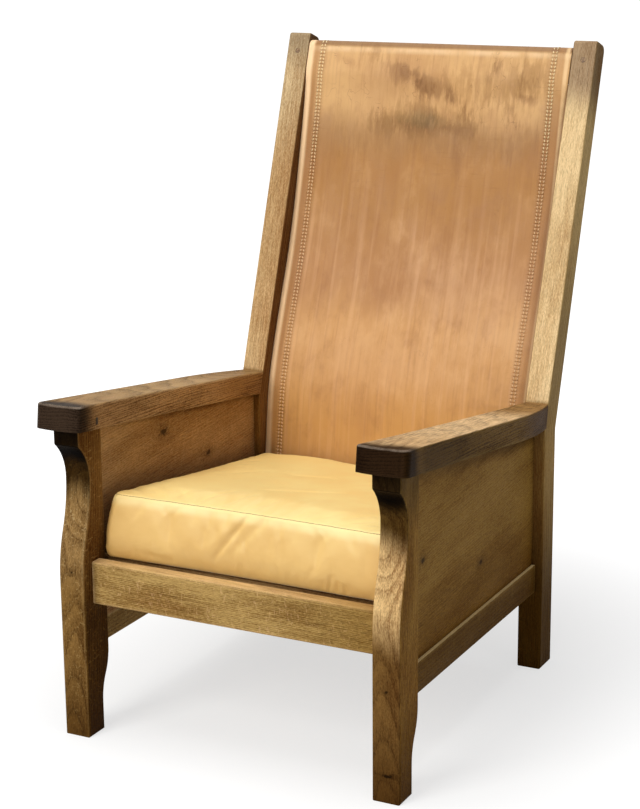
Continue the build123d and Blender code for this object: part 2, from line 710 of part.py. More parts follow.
def cushion_form(inset, mode=Mode.ADD):
    """The cushion's crowned form, drawn in all round by one distance."""
    height = cushion_height - 2 * inset
    outlines = [cushion_outline(inset + height * up, inset + cushion_edge_inset * more)
                for up, more in side_profile_shares]
    outlines += [cushion_outline(inset + height + cushion_crown * up,
                                 inset + cushion_edge_inset + (cushion_width / 2 - inset) * more)
                 for up, more in crown_profile_shares]
    loft(outlines, ruled=True, mode=mode)


def zip_slot(mode, ease=0.0):
    """The strip of the cushion's back wall that the zip takes."""
    depth = cushion_waist + cushion_edge_inset + cushion_cover
    with Locations(cushion_base.offset(cushion_height / 2)):
        with Locations((0, cushion_length / 2, 0)):
            Box(zip_length + 2 * ease, 2 * depth, zip_height + 2 * ease, mode=mode)


with BuildPart() as cover:
    cushion_form(0)
    cushion_form(cushion_cover, Mode.SUBTRACT)
    zip_slot(Mode.SUBTRACT, joint_clearance)
finish(cover, "cushion_cover")

with BuildPart() as cushion_zip:
    cushion_form(0)
    cushion_form(cushion_cover, Mode.SUBTRACT)
    zip_slot(Mode.INTERSECT)
finish(cushion_zip, "cushion_zip")

with BuildPart() as filling:
    cushion_form(cushion_cover + cushion_fit)
finish(filling, "cushion_filling")
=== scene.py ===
from math import cos, pi, radians, sin, tan

import bmesh
import bpy
import numpy as np
from mathutils import Matrix, Vector
from mathutils.bvhtree import BVHTree


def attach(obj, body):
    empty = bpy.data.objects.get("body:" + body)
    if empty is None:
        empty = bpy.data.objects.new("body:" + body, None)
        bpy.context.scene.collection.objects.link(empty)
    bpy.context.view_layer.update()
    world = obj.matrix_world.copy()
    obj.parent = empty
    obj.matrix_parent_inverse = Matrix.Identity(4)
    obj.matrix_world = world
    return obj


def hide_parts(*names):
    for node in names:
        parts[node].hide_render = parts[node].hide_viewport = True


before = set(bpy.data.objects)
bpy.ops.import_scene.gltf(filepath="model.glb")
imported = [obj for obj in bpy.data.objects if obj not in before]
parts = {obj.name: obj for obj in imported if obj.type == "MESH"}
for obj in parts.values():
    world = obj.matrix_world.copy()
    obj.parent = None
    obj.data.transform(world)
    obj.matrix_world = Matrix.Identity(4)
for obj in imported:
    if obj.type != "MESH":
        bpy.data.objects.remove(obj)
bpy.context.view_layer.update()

# The chair's own sizes, in metres, as its solids have them
RAKE = radians(18.7)
SEAT_SLOPE = radians(7.5)
LEG_FRONT = -0.422326
POST_FRONT = 0.187674
KINK_HEIGHT = 0.447
POST_HEIGHT = 1.1085
POST_TOP_FRONT = POST_FRONT + tan(RAKE) * (POST_HEIGHT - KINK_HEIGHT)
RAIL_ROUND = 0.009
TOP_RAIL_DROP, TOP_RAIL_HEIGHT, TOP_RAIL_THICKNESS = 0.0155, 0.060, 0.027
SLING_RAIL_FRONT, SLING_RAIL_BACK = 0.204174, 0.226174
SLING_RAIL_BOTTOM, SLING_RAIL_TOP = 0.250, 0.305
SEAT_EDGE, SEAT_EDGE_HEIGHT = -0.371326, 0.3046

# The sling: how far its two faces stand off the rails, its half width and cut length, and its tails
HIDE_GAP, HIDE_REACH = 0.0003, 0.0038
HIDE_HALF, HIDE_LENGTH = 0.2626, 1.0013
TOP_TAIL, BOTTOM_TAIL = 0.042, 0.040
HEM_WIDTH, HEM_SETBACK, FLAP = 0.044, 0.0006, 0.0013
EDGE_CURL, EDGE_CURL_FROM = 0.0024, 0.249
HIDE_BELLY = 0.0025
# The hang as shares of the run, and how soon it leaves the rails; then its sag behind a straight line
HANG_FROM, HANG_TO, HANG_EASE = 0.115, 0.885, 0.09
CURL_FROM, CURL_TO, CURL_EASE = 0.12, 0.88, 0.03
SAG = 0.023
SAG_SHARES = ((0.06, 0.12), (0.16, 0.22), (0.3, 0.27), (0.45, 0.04), (0.57, -0.45), (0.68, -0.88),
              (0.78, -1.0), (0.91, -0.5))
STITCH_PITCH, STITCH_LENGTH, STITCH_THREAD, STITCH_LEAN = 0.0066, 0.0053, 0.002, 0.34
STITCH_INSETS = (0.028, 0.0345)

# The cushion: its half sizes, its upper seam's height, and how its walls and panels leave a plain box
CUSHION_MIDDLE = -0.09468
CUSHION_HALF_WIDTH, CUSHION_HALF_LENGTH = 0.260, 0.27601
CUSHION_FOOT, CUSHION_SEAM = 0.0005, 0.108
CUSHION_CORNER, CUSHION_WAIST, CUSHION_EDGE, CUSHION_CROWN = 0.016, 0.007, 0.009, 0.009
SEAT_HEIGHT = SEAT_EDGE_HEIGHT - tan(SEAT_SLOPE) * (CUSHION_MIDDLE - SEAT_EDGE)
CUSHION_TURN = Matrix.Rotation(-SEAT_SLOPE, 3, "X")
CUSHION_BASE = Vector((0, CUSHION_MIDDLE, SEAT_HEIGHT)) + 0.0003 * (CUSHION_TURN @ Vector((0, 0, 1)))
CUSHION_PLACE = Matrix.Translation(CUSHION_BASE) @ CUSHION_TURN.to_4x4()
IMAGE_WIDTH, IMAGE_HEIGHT = 640, 809


# Camera: the photograph's own viewing angle
def look_from(azimuth, elevation, roll, distance, target, focal_pixels, centre):
    """The camera that sees the chair as the photograph does."""
    a, e, r = radians(azimuth), radians(elevation), radians(roll)
    back = Vector((sin(a) * cos(e), -cos(a) * cos(e), sin(e)))
    level = Vector((cos(a), sin(a), 0))
    upright = back.cross(level)
    right = cos(r) * level + sin(r) * upright
    up = -sin(r) * level + cos(r) * upright
    data = bpy.data.cameras.new("camera")
    data.sensor_fit, data.sensor_width = "HORIZONTAL", 36.0
    data.lens = data.sensor_width * focal_pixels / IMAGE_WIDTH
    data.shift_x = (IMAGE_WIDTH / 2 - centre[0]) / IMAGE_WIDTH
    data.shift_y = (centre[1] - IMAGE_HEIGHT / 2) / IMAGE_WIDTH
    data.clip_end = 200
    camera = bpy.data.objects.new("camera", data)
    turn = Matrix((right, up, back)).transposed()
    camera.matrix_world = Matrix.Translation(Vector(target) + distance * back) @ turn.to_4x4()
    bpy.context.scene.collection.objects.link(camera)
    bpy.context.scene.camera = camera


look_from(azimuth=27.61, elevation=14.83, roll=-0.63, distance=3.3144, target=(0.003, -0.14233, 0.5451),
          focal_pixels=1985.65, centre=(303.74, 402.64))


# Shader trees: a helper that is given another node's output works in that node's tree
def put(tree, kind, sockets=(), **settings):
    """Places a node, sets it and fills its sockets."""
    made = tree.nodes.new(kind if kind.startswith(("Geometry", "Function")) else "ShaderNode" + kind)
    for name, value in settings.items():
        setattr(made, name, value)
    return fill(made, dict(sockets))


def fill(node, sockets):
    """Fills a node's sockets with values or with other nodes' outputs."""
    for name, value in sockets.items():
        if isinstance(value, bpy.types.NodeSocket):
            node.id_data.links.new(value, node.inputs[name])
        else:
            node.inputs[name].default_value = value
    return node


def home(*values):
    """The tree that the first output among some values belongs to."""
    return next(value.id_data for value in values if isinstance(value, bpy.types.NodeSocket))


def calc(operation, *values, clamp=False):
    """One sum on numbers."""
    return put(home(*values), "Math", enumerate(values), operation=operation, use_clamp=clamp).outputs[0]


def plus(first, second, clamp=False):
    """Two numbers added."""
    return calc("ADD", first, second, clamp=clamp)


def minus(first, second):
    """The second number taken from the first."""
    return calc("SUBTRACT", first, second)


def times(first, *others):
    """Numbers multiplied."""
    for other in others:
        first = calc("MULTIPLY", first, other)
    return first


def vec(operation, *values):
    """One sum on vectors."""
    made = put(home(*values), "VectorMath", enumerate(values), operation=operation)
    return made.outputs["Value" if operation in ("LENGTH", "DOT_PRODUCT") else "Vector"]


def split(place):
    """A place's three numbers."""
    return put(home(place), "SeparateXYZ", {0: place}).outputs


def join(x, y=0.0, z=0.0):
    """A place from three numbers."""
    return put(home(x, y, z), "CombineXYZ", {0: x, 1: y, 2: z}).outputs[0]


def fade(value, low, high, to_low=0.0, to_high=1.0):
    """A soft step from one value to another."""
    sockets = {"Value": value, "From Min": low, "From Max": high, "To Min": to_low, "To Max": to_high}
    return put(home(value), "MapRange", sockets, interpolation_type="SMOOTHSTEP").outputs["Result"]


def contrast(value, strength, clamp=False):
    """A value stretched about a half."""
    return plus(times(minus(value, 0.5), strength), 0.5, clamp)


def noise(place, scale, detail=2.0, rough=0.5, distort=0.0):
    """Cloudy noise from 0 to 1; the scale is one number, or one for each axis."""
    if isinstance(scale, tuple):
        place, scale = vec("MULTIPLY", place, scale), 1.0
    sockets = {"Vector": place, "Scale": scale, "Detail": detail, "Roughness": rough, "Distortion": distort}
    return put(home(place), "TexNoise", sockets).outputs["Fac"]


def bump(height, depth, strength):
    """A bumped normal from a height."""
    made = put(home(height), "Bump", {"Height": height, "Distance": depth, "Strength": strength})
    return made.outputs["Normal"]


def tint(amount, first, second, way="MIX"):
    """Mixes two colours."""
    sockets = {0: amount, 6: first, 7: second}
    return put(home(*sockets.values()), "Mix", sockets, data_type="RGBA", blend_type=way).outputs[2]


def srgb(red, green, blue):
    """A colour read from the photograph, as linear light."""
    return tuple(((c / 255 + 0.055) / 1.055) ** 2.4 for c in (red, green, blue)) + (1.0,)


def coat(colour, *layers):
    """Lays colours read from the photograph over one another, each by its own amount."""
    for amount, shade in layers:
        colour = tint(amount, colour, srgb(*shade))
    return colour


def darken(amount, colour, factors):
    """Multiplies a colour by three factors, by some amount."""
    return tint(amount, colour, (*factors, 1), "MULTIPLY")


def group(name, vectors, numbers, results):
    """A shader node group with named vectors and numbers going in and numbers coming out.

    Gives its tree, its inputs and its output node.
    """
    tree = bpy.data.node_groups.new(name, "ShaderNodeTree")
    for labels, way, kind in ((vectors, "INPUT", "NodeSocketVector"), (numbers, "INPUT", "NodeSocketFloat"),
                              (results, "OUTPUT", "NodeSocketFloat")):
        for label in labels:
            tree.interface.new_socket(label, in_out=way, socket_type=kind)
    return tree, tree.nodes.new("NodeGroupInput").outputs, tree.nodes.new("NodeGroupOutput")


def use(tree, shared, sockets):
    """Places a shared group in a material with its own values; gives its outputs."""
    return put(tree, "Group", sockets, node_tree=shared).outputs


def make_oak_grain():
    """Growth rings, pores, rays and mottle of sawn oak; the tree's pith runs along the place's Z."""
    tree, given, out = group("oak grain", ["Place"], ["Ring Width", "Waviness", "Swirl"],
                             ["Rings", "Pores", "Flecks", "Shade", "Streaks", "Mottle"])
    place = given["Place"]
    wide = vec("MULTIPLY", place, (9, 9, 2.2))
    cloud = put(tree, "TexNoise", {"Vector": wide, "Scale": 1.0, "Detail": 2.0})
    drift = vec("MULTIPLY", vec("SUBTRACT", cloud.outputs["Color"], (0.5, 0.5, 0.5)), (1, 1, 0))
    drift = put(tree, "VectorMath", {0: drift, 3: given["Waviness"]}, operation="SCALE").outputs[0]
    bent = vec("ADD", place, drift)
    across = plus(vec("LENGTH", vec("MULTIPLY", bent, (1, 1, 0))), given["Swirl"])
    years = calc("DIVIDE", across, given["Ring Width"])
    years = plus(years, times(2.2, noise(join(times(across, 38.0)), 1.0, 1.0)))
    year = calc("FRACT", years)
    rings = times(fade(year, 0.0, 0.16, 1.0, 0.55), fade(year, 0.18, 0.75, 1.0, 0.12))
    rings = plus(rings, fade(year, 0.82, 1.0, 0.0, 0.5), clamp=True)
    pores = fade(noise(place, (1150, 1150, 52), 1.0), 0.52, 0.66)
    x, y, z = split(bent)
    rays = join(times(calc("ARCTAN2", y, x), 12.0), times(across, 70.0), times(z, 170.0))
    fill(out, {"Rings": rings,
               "Pores": times(pores, fade(rings, 0.1, 0.75, 0.35, 1.0)),
               "Flecks": fade(noise(rays, 1.0, 2.5, 0.6, 1.2), 0.58, 0.68),
               "Shade": noise(place, (13, 13, 3), 3.0, 0.55),
               "Streaks": noise(place, (420, 420, 16), 3.0, 0.6),
               "Mottle": noise(place, (680, 680, 230), 2.0, 0.6)})
    return tree


def make_knot():
    """A small round knot: its dark heart, the halo round it, and how far it pushes the rings aside."""
    tree, given, out = group("knot", ["Place", "Middle", "Flatten"], ["Radius"], ["Heart", "Halo", "Push"])
    gap = vec("MULTIPLY", vec("SUBTRACT", given["Place"], given["Middle"]), given["Flatten"])
    uneven = fade(noise(given["Place"], 160.0, 3.0, 0.6), 0.3, 0.7, 0.65, 1.6)
    reach = times(calc("DIVIDE", vec("LENGTH", gap), given["Radius"]), uneven)
    fill(out, {"Heart": fade(reach, 0.45, 1.2, 1.0, 0.0),
               "Halo": fade(reach, 0.8, 3.4, 1.0, 0.0),
               "Push": fade(reach, 0.5, 4.5, 1.0, 0.0)})
    return tree


def make_edge_wear():
    """Where an edge is rubbed, and where two pieces meet in a corner, which gets dirt and painted shade."""
    tree, given, out = group("edge wear", ["Place"], ["Reach", "Corner Reach"], ["Worn", "Grime And Shade"])
    inside = put(tree, "AmbientOcclusion", {"Distance": given["Reach"]}, inside=True, samples=6)
    outside = put(tree, "AmbientOcclusion", {"Distance": given["Corner Reach"]}, samples=6)
    patchy = fade(noise(given["Place"], 60.0, 3.0, 0.6), 0.3, 0.6, 0.35, 1.0)
    fill(out, {"Worn": times(fade(inside.outputs["AO"], 0.93, 0.6), patchy),
               "Grime And Shade": fade(outside.outputs["AO"], 0.8, 0.2)})
    return tree


def make_leather_grain():
    """The fine pebbling and pores of a hide, as a height, and its cloudy tone."""
    tree, given, out = group("leather grain", ["Place"], ["Pebble", "Cloud"], ["Height", "Cloud"])
    place = given["Place"]
    cells = put(tree, "TexVoronoi", {"Vector": place, "Scale": given["Pebble"]}, feature="DISTANCE_TO_EDGE")
    fine = times(noise(place, 900.0, 2.0), 0.6)
    fill(out, {"Height": plus(fade(cells.outputs["Distance"], 0.0, 0.12), fine),
               "Cloud": noise(place, given["Cloud"], 4.0, 0.6, 0.4)})
    return tree


def make_old_mark():
    """One old mark on the hide, by its middle, its lean and how far it reaches along and across the lean."""
    tree, given, out = group("old mark", ["Place", "Middle"], ["Lean", "Along", "Across", "Uneven"],
                             ["Amount"])
    gap = vec("SUBTRACT", given["Place"], given["Middle"])
    turned = put(tree, "VectorRotate", {"Vector": gap, "Axis": (0, 1, 0), "Angle": given["Lean"]})
    along, _, across = split(turned.outputs[0])
    reach = join(calc("DIVIDE", along, given["Along"]), 0.0, calc("DIVIDE", across, given["Across"]))
    reach = plus(vec("LENGTH", reach), given["Uneven"])
    fill(out, {"Amount": fade(reach, 0.1, 1.1, 1.0, 0.0)})
    return tree


oak_grain, knot, edge_wear = make_oak_grain(), make_knot(), make_edge_wear()
leather_grain, old_mark = make_leather_grain(), make_old_mark()


def blank_tree(owner):
    """The empty shader tree of a material or of the world."""
    owner.use_nodes = True
    owner.node_tree.nodes.clear()
    return owner.node_tree


def new_material(name):
    """A material with nothing but its shader; gives it, the shader and the object's own coordinates."""
    made = bpy.data.materials.new(name)
    tree = blank_tree(made)
    shader = put(tree, "BsdfPrincipled")
    put(tree, "OutputMaterial", {"Surface": shader.outputs[0]})
    return made, shader, put(tree, "TexCoord").outputs["Object"]


# Oak
OAK_GLOSS = 0.012
UP = (0, 0, 1)


def oak(name, turn, pith, pale, dark, ring=0.0032, wave=0.012, knots=(), patina_and_shade=(), worn=0.35, fleck=0.12,
        figure=1.0, lines=1.0, rubbed_and_lit=None, raked=False, worn_and_lit_tint=(214, 186, 134), shine=None, corner=0.035,
        grime_and_shade=0.5):
    """Waxed oak.

    Turn and pith put the tree's middle along the place's Z. Each knot is a middle, a radius and a flattening.
    Figure is how strongly all of the grain shows, and lines how strongly the rings and streaks show beside
    the mottle. Rubbed and lit is how pale the faces are that look up, which stands for rubbing and for
    painted light from above, from which tilt and up to which, and how much of it the streaks keep; the worn
    and lit tint is the colour of that paling, of worn edges and of flecks. Shine is where along Y a painted
    highlight along a top edge starts, and where it is full. Corner is how far the dirt and painted shade of a
    corner reach. Each patina and shade is an axis or a direction, where it starts along it, where it is full,
    the factors that it multiplies the colour by, and the way that the faces look which have it, or None for
    all of them; some are real patina and weathering, and many are painted shade on faces turned from the
    lamps, under the arms and low down.
    """
    made, shader, here = new_material(name)
    tree = made.node_tree
    spread = split(here)
    place = here
    if raked:
        # The grain follows the post: above the kink it leans back with the rake
        lean = times(tan(RAKE), calc("MAXIMUM", 0.0, minus(spread[2], KINK_HEIGHT)))
        place = join(spread[0], minus(spread[1], lean), spread[2])
    turned = put(tree, "Mapping", {"Vector": place, "Location": pith, "Rotation": [radians(t) for t in turn]})
    hearts, halos, swirl = 0.0, 0.0, 0.0
    for middle, radius, flatten in knots:
        one = use(tree, knot, {"Place": place, "Middle": middle, "Radius": radius, "Flatten": flatten})
        hearts = calc("MAXIMUM", hearts, one["Heart"])
        halos = calc("MAXIMUM", halos, one["Halo"])
        swirl = plus(swirl, times(one["Push"], radius * 0.9))
    grain = use(tree, oak_grain, {"Place": turned.outputs[0], "Ring Width": ring, "Waviness": wave,
                                  "Swirl": swirl})
    wear = use(tree, edge_wear, {"Place": here, "Reach": 0.006, "Corner Reach": corner})
    tone = plus(times(grain["Rings"], 0.6), times(fade(grain["Streaks"], 0.34, 0.66), 0.4))
    tone = plus(contrast(tone, lines), fade(grain["Mottle"], 0.3, 0.7, -0.28, 0.28))
    tone = plus(tone, fade(grain["Shade"], 0.3, 0.7, -0.32, 0.32))
    colour = tint(contrast(tone, figure, clamp=True), srgb(*pale), srgb(*dark))
    colour = coat(colour, (times(grain["Flecks"], fleck), worn_and_lit_tint),
                  (times(grain["Pores"], 0.4), [0.5 * c for c in dark]))
    if knots:
        colour = coat(colour, (times(halos, 0.4), [0.75 * c for c in dark]),
                      (times(hearts, 0.8), [0.35 * c for c in dark]))
    colour = darken(fade(grain["Shade"], 0.52, 0.75, 0.0, 0.3), colour, (0.8, 0.6, 0.5))
    colour = coat(colour, (times(wear["Worn"], worn), worn_and_lit_tint))
    looks = put(tree, "NewGeometry").outputs["Normal"]
    # Faces that look up are paled, as rubbing and as painted light from above
    if rubbed_and_lit:
        strength, tilt_from, tilt_to, least = rubbed_and_lit
        upward = fade(vec("DOT_PRODUCT", looks, UP), tilt_from, tilt_to, 0.0, strength)
        colour = coat(colour, (times(upward, fade(grain["Streaks"], 0.3, 0.62, 1.0, least)), worn_and_lit_tint))
    # Patina and painted shade: each changes the colour along an axis, on the faces that look its way
    for axis, start, full, factors, way in patina_and_shade:
        drift = min(0.02, abs(full - start) / 3)
        run = spread[axis] if isinstance(axis, int) else vec("DOT_PRODUCT", here, axis)
        amount = fade(plus(run, fade(grain["Shade"], 0.2, 0.8, -drift, drift)), start, full)
        if way:
            amount = times(amount, fade(vec("DOT_PRODUCT", looks, way), 0.35, 0.9))
        colour = darken(amount, colour, factors)
    # Dirt and painted shade in corners, where two pieces meet and under the arms
    colour = darken(times(wear["Grime And Shade"], grime_and_shade), colour, (0.3, 0.2, 0.12))
    if shine:
        # The hand-worn end: a painted highlight, a pale line along its top edge
        highlight_line = times(fade(wear["Worn"], 0.03, 0.35), fade(spread[1], *shine),
                         fade(vec("DOT_PRODUCT", looks, UP), 0.2, 0.6), 0.5)
        colour = coat(colour, (highlight_line, (196, 176, 156)))
    height = minus(minus(1.0, times(grain["Pores"], 0.9)), times(grain["Rings"], 0.5))
    height = plus(height, times(grain["Mottle"], 0.8))
    fill(shader, {"Base Color": colour, "Roughness": fade(grain["Shade"], 0.25, 0.75, 0.42, 0.58),
                  "Normal": bump(height, 0.0007, 0.5), "Specular IOR Level": OAK_GLOSS})
    return made


def dress(name, finish):
    """Gives a CAD node its material."""
    slots = parts[name].data.materials
    slots.clear()
    slots.append(finish)


# Oak pieces: a turn is in degrees and brings the length of the piece to the place's Z
ALONG_X, ALONG_Y = (0, 90, 0), (90, 0, 0)
X, Y, Z = 0, 1, 2
EVERYWHERE = (Z, -1.0, -0.9)
FRONTWARD, UNDERSIDE = (0, -1, 0), (0, -0.4, -0.917)
# Height along the arms' slope, along which the panels get a painted shadow under each arm
ABOVE_ARM_LINE = (0, 0.1354, 1.0)
# How pale the upward faces of the arms and front rail are: rubbed, and painted as lit from above
ARM_RUBBED_AND_LIT = (0.7, 0.5, 0.95, 0.35)
# Each side's tones: the arm's outside shade and back shade are painted shade, and the shin darkens the leg's
# front towards the floor
TONES = {
    "left": {"post": ((212, 178, 130), (150, 112, 68)),
             "sunned": (1.08, 1.2, 1.38),
             "weathered": (1.03, 1.1, (0.6, 0.6, 0.63)),
             "leg": ((158, 124, 76), (86, 56, 24)),
             "shin": (0.72, 0.66, 0.52),
             "arm top": (160, 136, 94),
             "arm end": (0.106, 0.112, 0.16),
             "arm outside shade": (0.36, 0.31, 0.18),
             "arm back shade": (0.74, 0.68, 0.58)},
    "right": {"post": ((232, 203, 154), (177, 140, 93)),
              "sunned": (1.0, 1.0, 1.0),
              "weathered": (0.955, 1.035, (0.48, 0.45, 0.49)),
              "leg": ((243, 204, 143), (158, 118, 72)),
              "shin": (0.23, 0.175, 0.105),
              "arm top": (247, 214, 166),
              "arm end": (0.065, 0.054, 0.05),
              "arm outside shade": (0.4, 0.36, 0.19),
              "arm back shade": (0.46, 0.37, 0.24)}}
LEG_KNOTS = {"left": (((-0.286, LEG_FRONT, 0.29), 0.003, (1, 0.3, 1)),),
             "right": (((0.286, LEG_FRONT, 0.185), 0.003, (1, 0.3, 1)),
                       ((0.289, LEG_FRONT, 0.045), 0.005, (0.5, 0.3, 1.6)))}
PANEL_KNOTS = {"left": (((-0.275, -0.138, 0.46), 0.008, (0.2, 0.6, 1)),
                        ((-0.275, 0.015, 0.383), 0.006, (0.2, 0.6, 1))),
               "right": (((0.285, -0.291, 0.358), 0.005, (0.2, 0.55, 1)),
                         ((0.285, -0.053, 0.279), 0.005, (0.2, 0.55, 1)))}
for side, sign in (("left", -1), ("right", 1)):
    outside, inside = (sign, 0, 0), (-sign, 0, 0)
    tones = TONES[side]
    # Back post: its foot is darkened as stain and painted shade, its front under the arm and its outer and
    # inner faces as painted shade; its top is sunned and weathered
    dress(f"back_post_{side}", oak(
        f"oak back post {side}", (2, -1.5 * sign, 0), (0.10 * sign, -0.30, 0), *tones["post"], ring=0.0024,
        wave=0.006, raked=True, figure=0.9, worn=0.2,
        patina_and_shade=((Z, 0.50, 0.40, (1.08, 1.02, 0.86), None),
                (Z, 0.40, 0.12, (0.27, 0.22, 0.12), None),
                (Z, 0.50, 0.49, (0.43, 0.35, 0.22), FRONTWARD),
                (Z, 0.78, 0.6, (1.12, 1.14, 1.17), FRONTWARD),
                (Z, 0.4, 0.12, (0.9, 0.88, 0.84), outside),
                (Z, 0.85, 1.0, tones["sunned"], None),
                (Z, *tones["weathered"], None),
                (*EVERYWHERE, (0.92, 0.88, 0.7), outside),
                (Z, 0.8, 0.58, (0.6, 0.57, 0.52), outside),
                (*EVERYWHERE, (0.38, 0.29, 0.2), inside))))
    # Front leg: the scoop and block under the arm, the faces that look down, the outer face near the arm and
    # the outer and inner faces are darkened as painted shade, and the leg grows darker towards the floor
    dress(f"front_leg_{side}", oak(
        f"oak front leg {side}", (5, 3 * sign, 0), (0.288 * -sign, 0.33, 0), *tones["leg"], ring=0.0052,
        wave=0.03, figure=0.95, worn=0.45, fleck=0.35, lines=0.8, knots=LEG_KNOTS[side],
        patina_and_shade=((Z, 0.385, 0.45, (0.125, 0.1, 0.05), FRONTWARD),
                (Z, 0.458, 0.503, (0.1, 0.1, 0.12), FRONTWARD),
                (Z, 0.504, 0.508, (2.9, 3.0, 3.2), FRONTWARD),
                (Z, 0.46, 0.49, (0.17, 0.15, 0.11), UNDERSIDE),
                (Z, 0.42, 0.53, (0.45, 0.48, 0.5), outside),
                (Z, 0.325, 0.235, tones["shin"], FRONTWARD),
                (Z, 0.34, 0.2, (0.5, 0.44, 0.27), inside),
                (Z, 0.2, 0.1, (0.7, 0.65, 0.5), outside),
                (Z, 0.16, 0.0, (0.5, 0.44, 0.35), None),
                (*EVERYWHERE, (0.45, 0.36, 0.17), outside),
                (*EVERYWHERE, (0.78, 0.66, 0.48), inside))))
    # Side rail: its ledge that looks up is painted pale as painted light, and its outer faces get painted
    # shade
    dress(f"side_rail_{side}", oak(
        f"oak side rail {side}", ALONG_Y, (0.1 * sign, -0.05, 0), (170, 138, 84), (112, 84, 44), wave=0.008,
        worn=0.3, rubbed_and_lit=(1.0, 0.1, 0.5, 0.75), worn_and_lit_tint=(255, 226, 165), grime_and_shade=0.1, lines=0.5,
        patina_and_shade=((Z, 0.19, 0.12, (0.62, 0.56, 0.46), outside),
                (*EVERYWHERE, (0.48, 0.385, 0.215), outside))))
    # Side panel: painted shade on its outer face, darker low down, and a painted shadow under the arm on both
    # faces
    dress(f"side_panel_{side}", oak(
        f"oak side panel {side}", (86, 0, 0), (-0.24 * sign, -0.33, 0), (198, 160, 110), (136, 98, 60),
        ring=0.0046, wave=0.03, worn=0.1, fleck=0.24, corner=0.09, grime_and_shade=0.75, lines=0.55,
        knots=PANEL_KNOTS[side],
        patina_and_shade=((*EVERYWHERE, (0.7, 0.63, 0.32), outside),
                (Z, 0.34, 0.2, (0.66, 0.58, 0.42), outside),
                (ABOVE_ARM_LINE, 0.43, 0.481, (0.3, 0.26, 0.2), outside),
                (ABOVE_ARM_LINE, 0.462, 0.481, (0.45, 0.4, 0.34), inside))))
    # Arm: painted shade on its outer face and towards its back; its dark front end is patina from hands
    dress(f"arm_{side}", oak(
        f"oak arm {side}", (94, 0, 0), (-0.30 * sign, -0.42, 0), (190, 151, 104), (96, 66, 40), ring=0.0042,
        wave=0.03, worn=0.3, figure=1.1, rubbed_and_lit=ARM_RUBBED_AND_LIT, worn_and_lit_tint=tones["arm top"], shine=(-0.4, -0.435),
        patina_and_shade=((*EVERYWHERE, tones["arm outside shade"], outside),
                (Y, -0.385, -0.432, tones["arm end"], None),
                (Y, -0.05, -0.35, (0.6, 0.6, 0.56), outside),
                (Y, -0.385, -0.432, (4.0, 4.2, 5.0), outside),
                (Y, -0.2, -0.36, (0.82, 0.78, 0.74), None),
                (Y, -0.03, 0.1, tones["arm back shade"], None))))
    dress(f"seat_bearer_{side}", oak(
        f"oak seat bearer {side}", ALONG_Y, (0.2 * sign, -0.2, 0), (190, 156, 108), (140, 104, 60), worn=0.1))
# Front rail: its top is paled, rubbed and painted as lit from above
dress("front_seat_rail", oak(
    "oak front rail", (0, 89, 0), (0.0, 0.40, 0.05), (192, 158, 96), (124, 90, 44), ring=0.003, wave=0.008,
    worn=0.7, rubbed_and_lit=ARM_RUBBED_AND_LIT, fleck=0.35, grime_and_shade=0.25, worn_and_lit_tint=(224, 184, 132),
    patina_and_shade=((X, 0.05, 0.25, (0.71, 0.66, 0.54), None),)))
dress("top_rail", oak("oak top rail", ALONG_X, (0.9, 0.5, 0), (190, 154, 108), (120, 88, 50)))
dress("sling_bottom_rail", oak("oak lower sling rail", ALONG_X, (0.1, 0.1, 0), (180, 146, 98), (120, 88, 50)))
dress("back_seat_rail", oak("oak back rail", ALONG_X, (0.1, 0.15, 0), (120, 92, 54), (74, 52, 26)))
for number in range(1, 7):
    dress(f"seat_slat_{number}", oak(
        f"oak slat {number}", (0, 90 - number % 3, 0), (0.05 * number, 0.3 - 0.04 * number, 0),
        (192, 158, 108), (142, 106, 62), worn=0.1))


# Metal and the ends of pegs
def metal(name, colour, rough, tarnish):
    """Plain or aged metal with small scratches."""
    made, shader, place = new_material(name)
    patches = noise(place, 260.0, 4.0, 0.65)
    scratches = noise(place, (3200, 300, 900), 1.0)
    shade = tint(fade(patches, 0.4, 0.7), (*colour, 1), (*tarnish, 1))
    dull = fade(patches, 0.3, 0.7, rough, rough + 0.25)
    fill(shader, {"Base Color": shade, "Metallic": 1.0, "Roughness": dull,
                  "Normal": bump(scratches, 0.0001, 0.3)})
    return made


def end_grain(name, pale, dark):
    """The cut end of a peg or plug: fine pores in a waxed, darkened face."""
    made, shader, place = new_material(name)
    pores = fade(noise(place, 1500.0, 1.0), 0.5, 0.62)
    rings = fade(noise(place, (300, 90, 300)), 0.35, 0.65)
    colour = coat(srgb(*pale), (rings, dark), (times(pores, 0.6), [0.5 * c for c in dark]))
    fill(shader, {"Base Color": colour, "Roughness": 0.5, "Normal": bump(pores, 0.0003, 0.4)})
    return made


brass = metal("aged brass", (0.46, 0.31, 0.11), 0.3, (0.16, 0.10, 0.04))
steel = metal("plain steel", (0.52, 0.52, 0.51), 0.32, (0.28, 0.27, 0.26))
for name in ("sling_nails_top", "sling_nails_bottom"):
    dress(name, brass)
for name in ("slat_screws", "bearer_screws"):
    dress(name, steel)
dress("top_rail_pegs", end_grain("oak peg ends", (150, 116, 74), (96, 66, 36)))
dress("arm_plugs", end_grain("dark plugs", (46, 30, 20), (24, 15, 10)))


# Shapes in mesh code
def new_piece(name, points, faces, material, smooth=True):
    """A mesh piece with its place in its mesh."""
    mesh = bpy.data.meshes.new(name)
    mesh.from_pydata([tuple(p) for p in points], [], [tuple(f) for f in faces])
    mesh.materials.append(material)
    mesh.polygons.foreach_set("use_smooth", [smooth] * len(mesh.polygons))
    mesh.update()
    piece = bpy.data.objects.new(name, mesh)
    bpy.context.scene.collection.objects.link(piece)
    return piece


